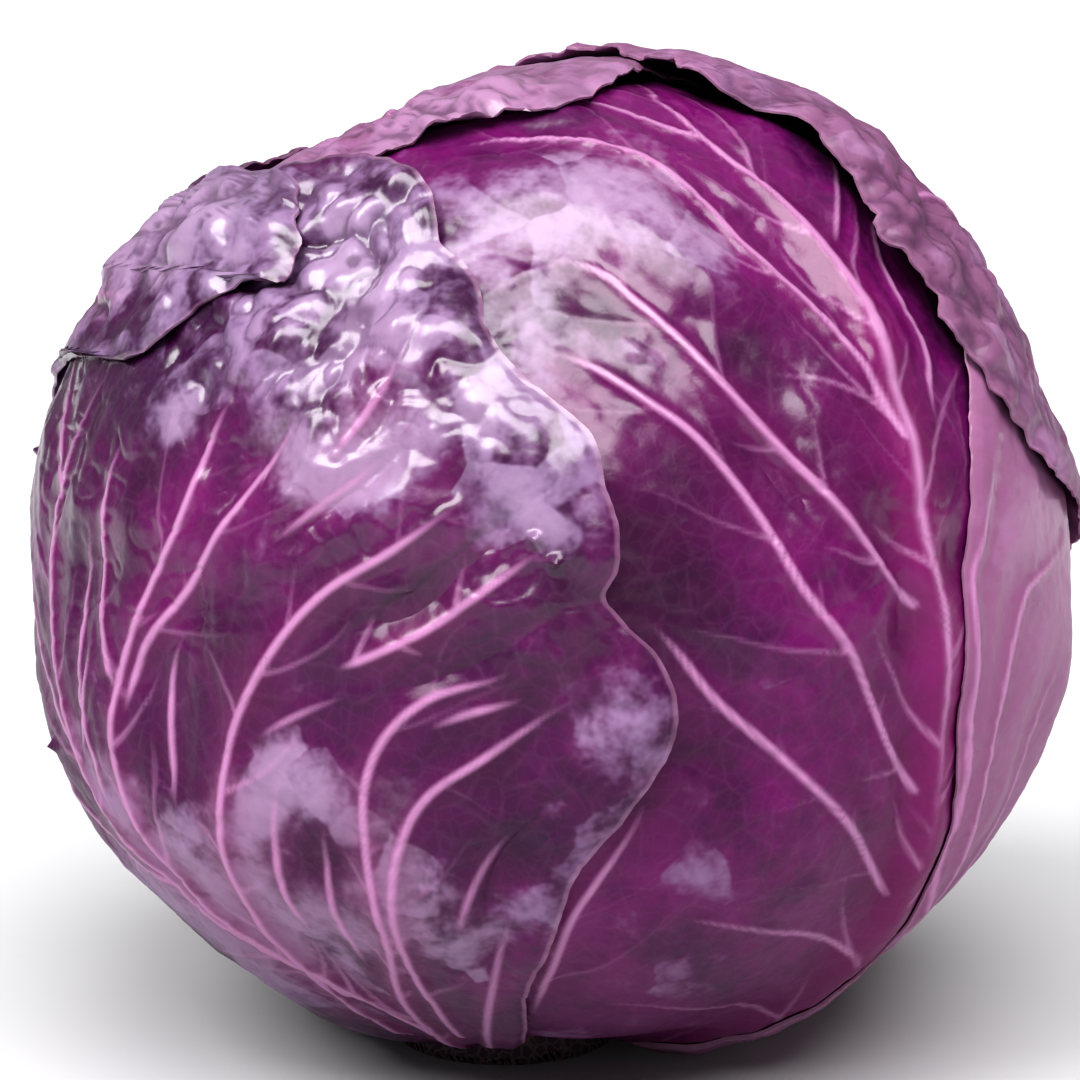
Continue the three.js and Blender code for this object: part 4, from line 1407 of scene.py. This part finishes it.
class CabbageStage(bpy.types.PropertyGroup):
    """Floor, lights and camera."""

    floor: colour_property("Floor", "Colour of the floor", (0.62, 0.62, 0.63))
    backdrop: number("Backdrop", "Brightness behind the floor", 0.86)
    sky: number("Room light", "Strength of the even white light", 0.16)
    key: number("Key", "Strength of the main soft light, W/m2", 3.2)
    key_from: angle_pair("Key from", "Bearing to the right and elevation of the main light", (12, 62))
    key_soft: number("Key size", "Angle across the main light", math.radians(46), "ROTATION")
    left: number("Left", "Strength of the left light, W/m2", 2.2)
    left_from: angle_pair("Left from", "Bearing to the right and elevation of the left light", (-54, 48))
    left_soft: number("Left size", "Angle across the left light", math.radians(32), "ROTATION")
    lens: number("Lens", "Focal length, mm", 100)
    distance: number("Distance", "Camera to head centre", 0.495, "LENGTH")
    elevation: number("Elevation", "Camera above the horizon", math.radians(10), "ROTATION")
    right: number("Right", "Head right of the frame's centre", 0.00132, "LENGTH")
    down: number("Down", "Head below the frame's centre", 0.000825, "LENGTH")


class CABBAGE_OT_stem(bpy.types.Operator):
    """Model the cut stalk"""

    bl_idname = "cabbage.stem"
    bl_label = "Cut stem"

    def execute(self, context):
        make_stem()
        return {"FINISHED"}


class CABBAGE_OT_heart(bpy.types.Operator):
    """Model the tight inner leaves"""

    bl_idname = "cabbage.heart"
    bl_label = "Heart"

    def execute(self, context):
        make_heart()
        return {"FINISHED"}


class CABBAGE_OT_leaf(bpy.types.Operator):
    """Model one wrapper leaf over those that lie under it"""

    bl_idname = "cabbage.leaf"
    bl_label = "Wrapper leaf"

    leaf: StringProperty(name="Leaf", description="Which leaf of the head")

    def execute(self, context):
        make_leaf(self.leaf)
        return {"FINISHED"}


class CABBAGE_OT_stage(bpy.types.Operator):
    """Set up the floor, the lights and the camera"""

    bl_idname = "cabbage.stage"
    bl_label = "Stage"

    def execute(self, context):
        make_stage()
        return {"FINISHED"}


class CABBAGE_PT_panel(bpy.types.Panel):
    """The cabbage's pieces and their settings"""

    bl_label = "Red cabbage head"
    bl_space_type = "VIEW_3D"
    bl_region_type = "UI"
    bl_category = "Cabbage"

    def draw(self, context):
        layout = self.layout
        layout.operator(CABBAGE_OT_stem.bl_idname)
        layout.operator(CABBAGE_OT_heart.bl_idname)
        for leaf in LEAVES:
            layout.operator(CABBAGE_OT_leaf.bl_idname, text=leaf.name).leaf = leaf.name
        layout.operator(CABBAGE_OT_stage.bl_idname)
        for settings in SETTINGS:
            group = getattr(context.scene, settings)
            for name in group.bl_rna.properties.keys():
                if name not in ("name", "rna_type"):
                    layout.prop(group, name)


SETTINGS = {"cabbage_shape": CabbageShape, "cabbage_colours": CabbageColours, "cabbage_stage": CabbageStage}
CLASSES = [
    *SETTINGS.values(),
    CABBAGE_OT_stem,
    CABBAGE_OT_heart,
    CABBAGE_OT_leaf,
    CABBAGE_OT_stage,
    CABBAGE_PT_panel,
]


def register():
    for made in CLASSES:
        bpy.utils.register_class(made)
    for name, group in SETTINGS.items():
        setattr(bpy.types.Scene, name, PointerProperty(type=group))


def unregister():
    for name in SETTINGS:
        delattr(bpy.types.Scene, name)
    for made in reversed(CLASSES):
        bpy.utils.unregister_class(made)


def main():
    register()
    bpy.ops.cabbage.stage()
    bpy.ops.cabbage.heart()
    for leaf in LEAVES:
        bpy.ops.cabbage.leaf(leaf=leaf.name)
    bpy.ops.cabbage.stem()


if __name__ == "__main__":
    main()
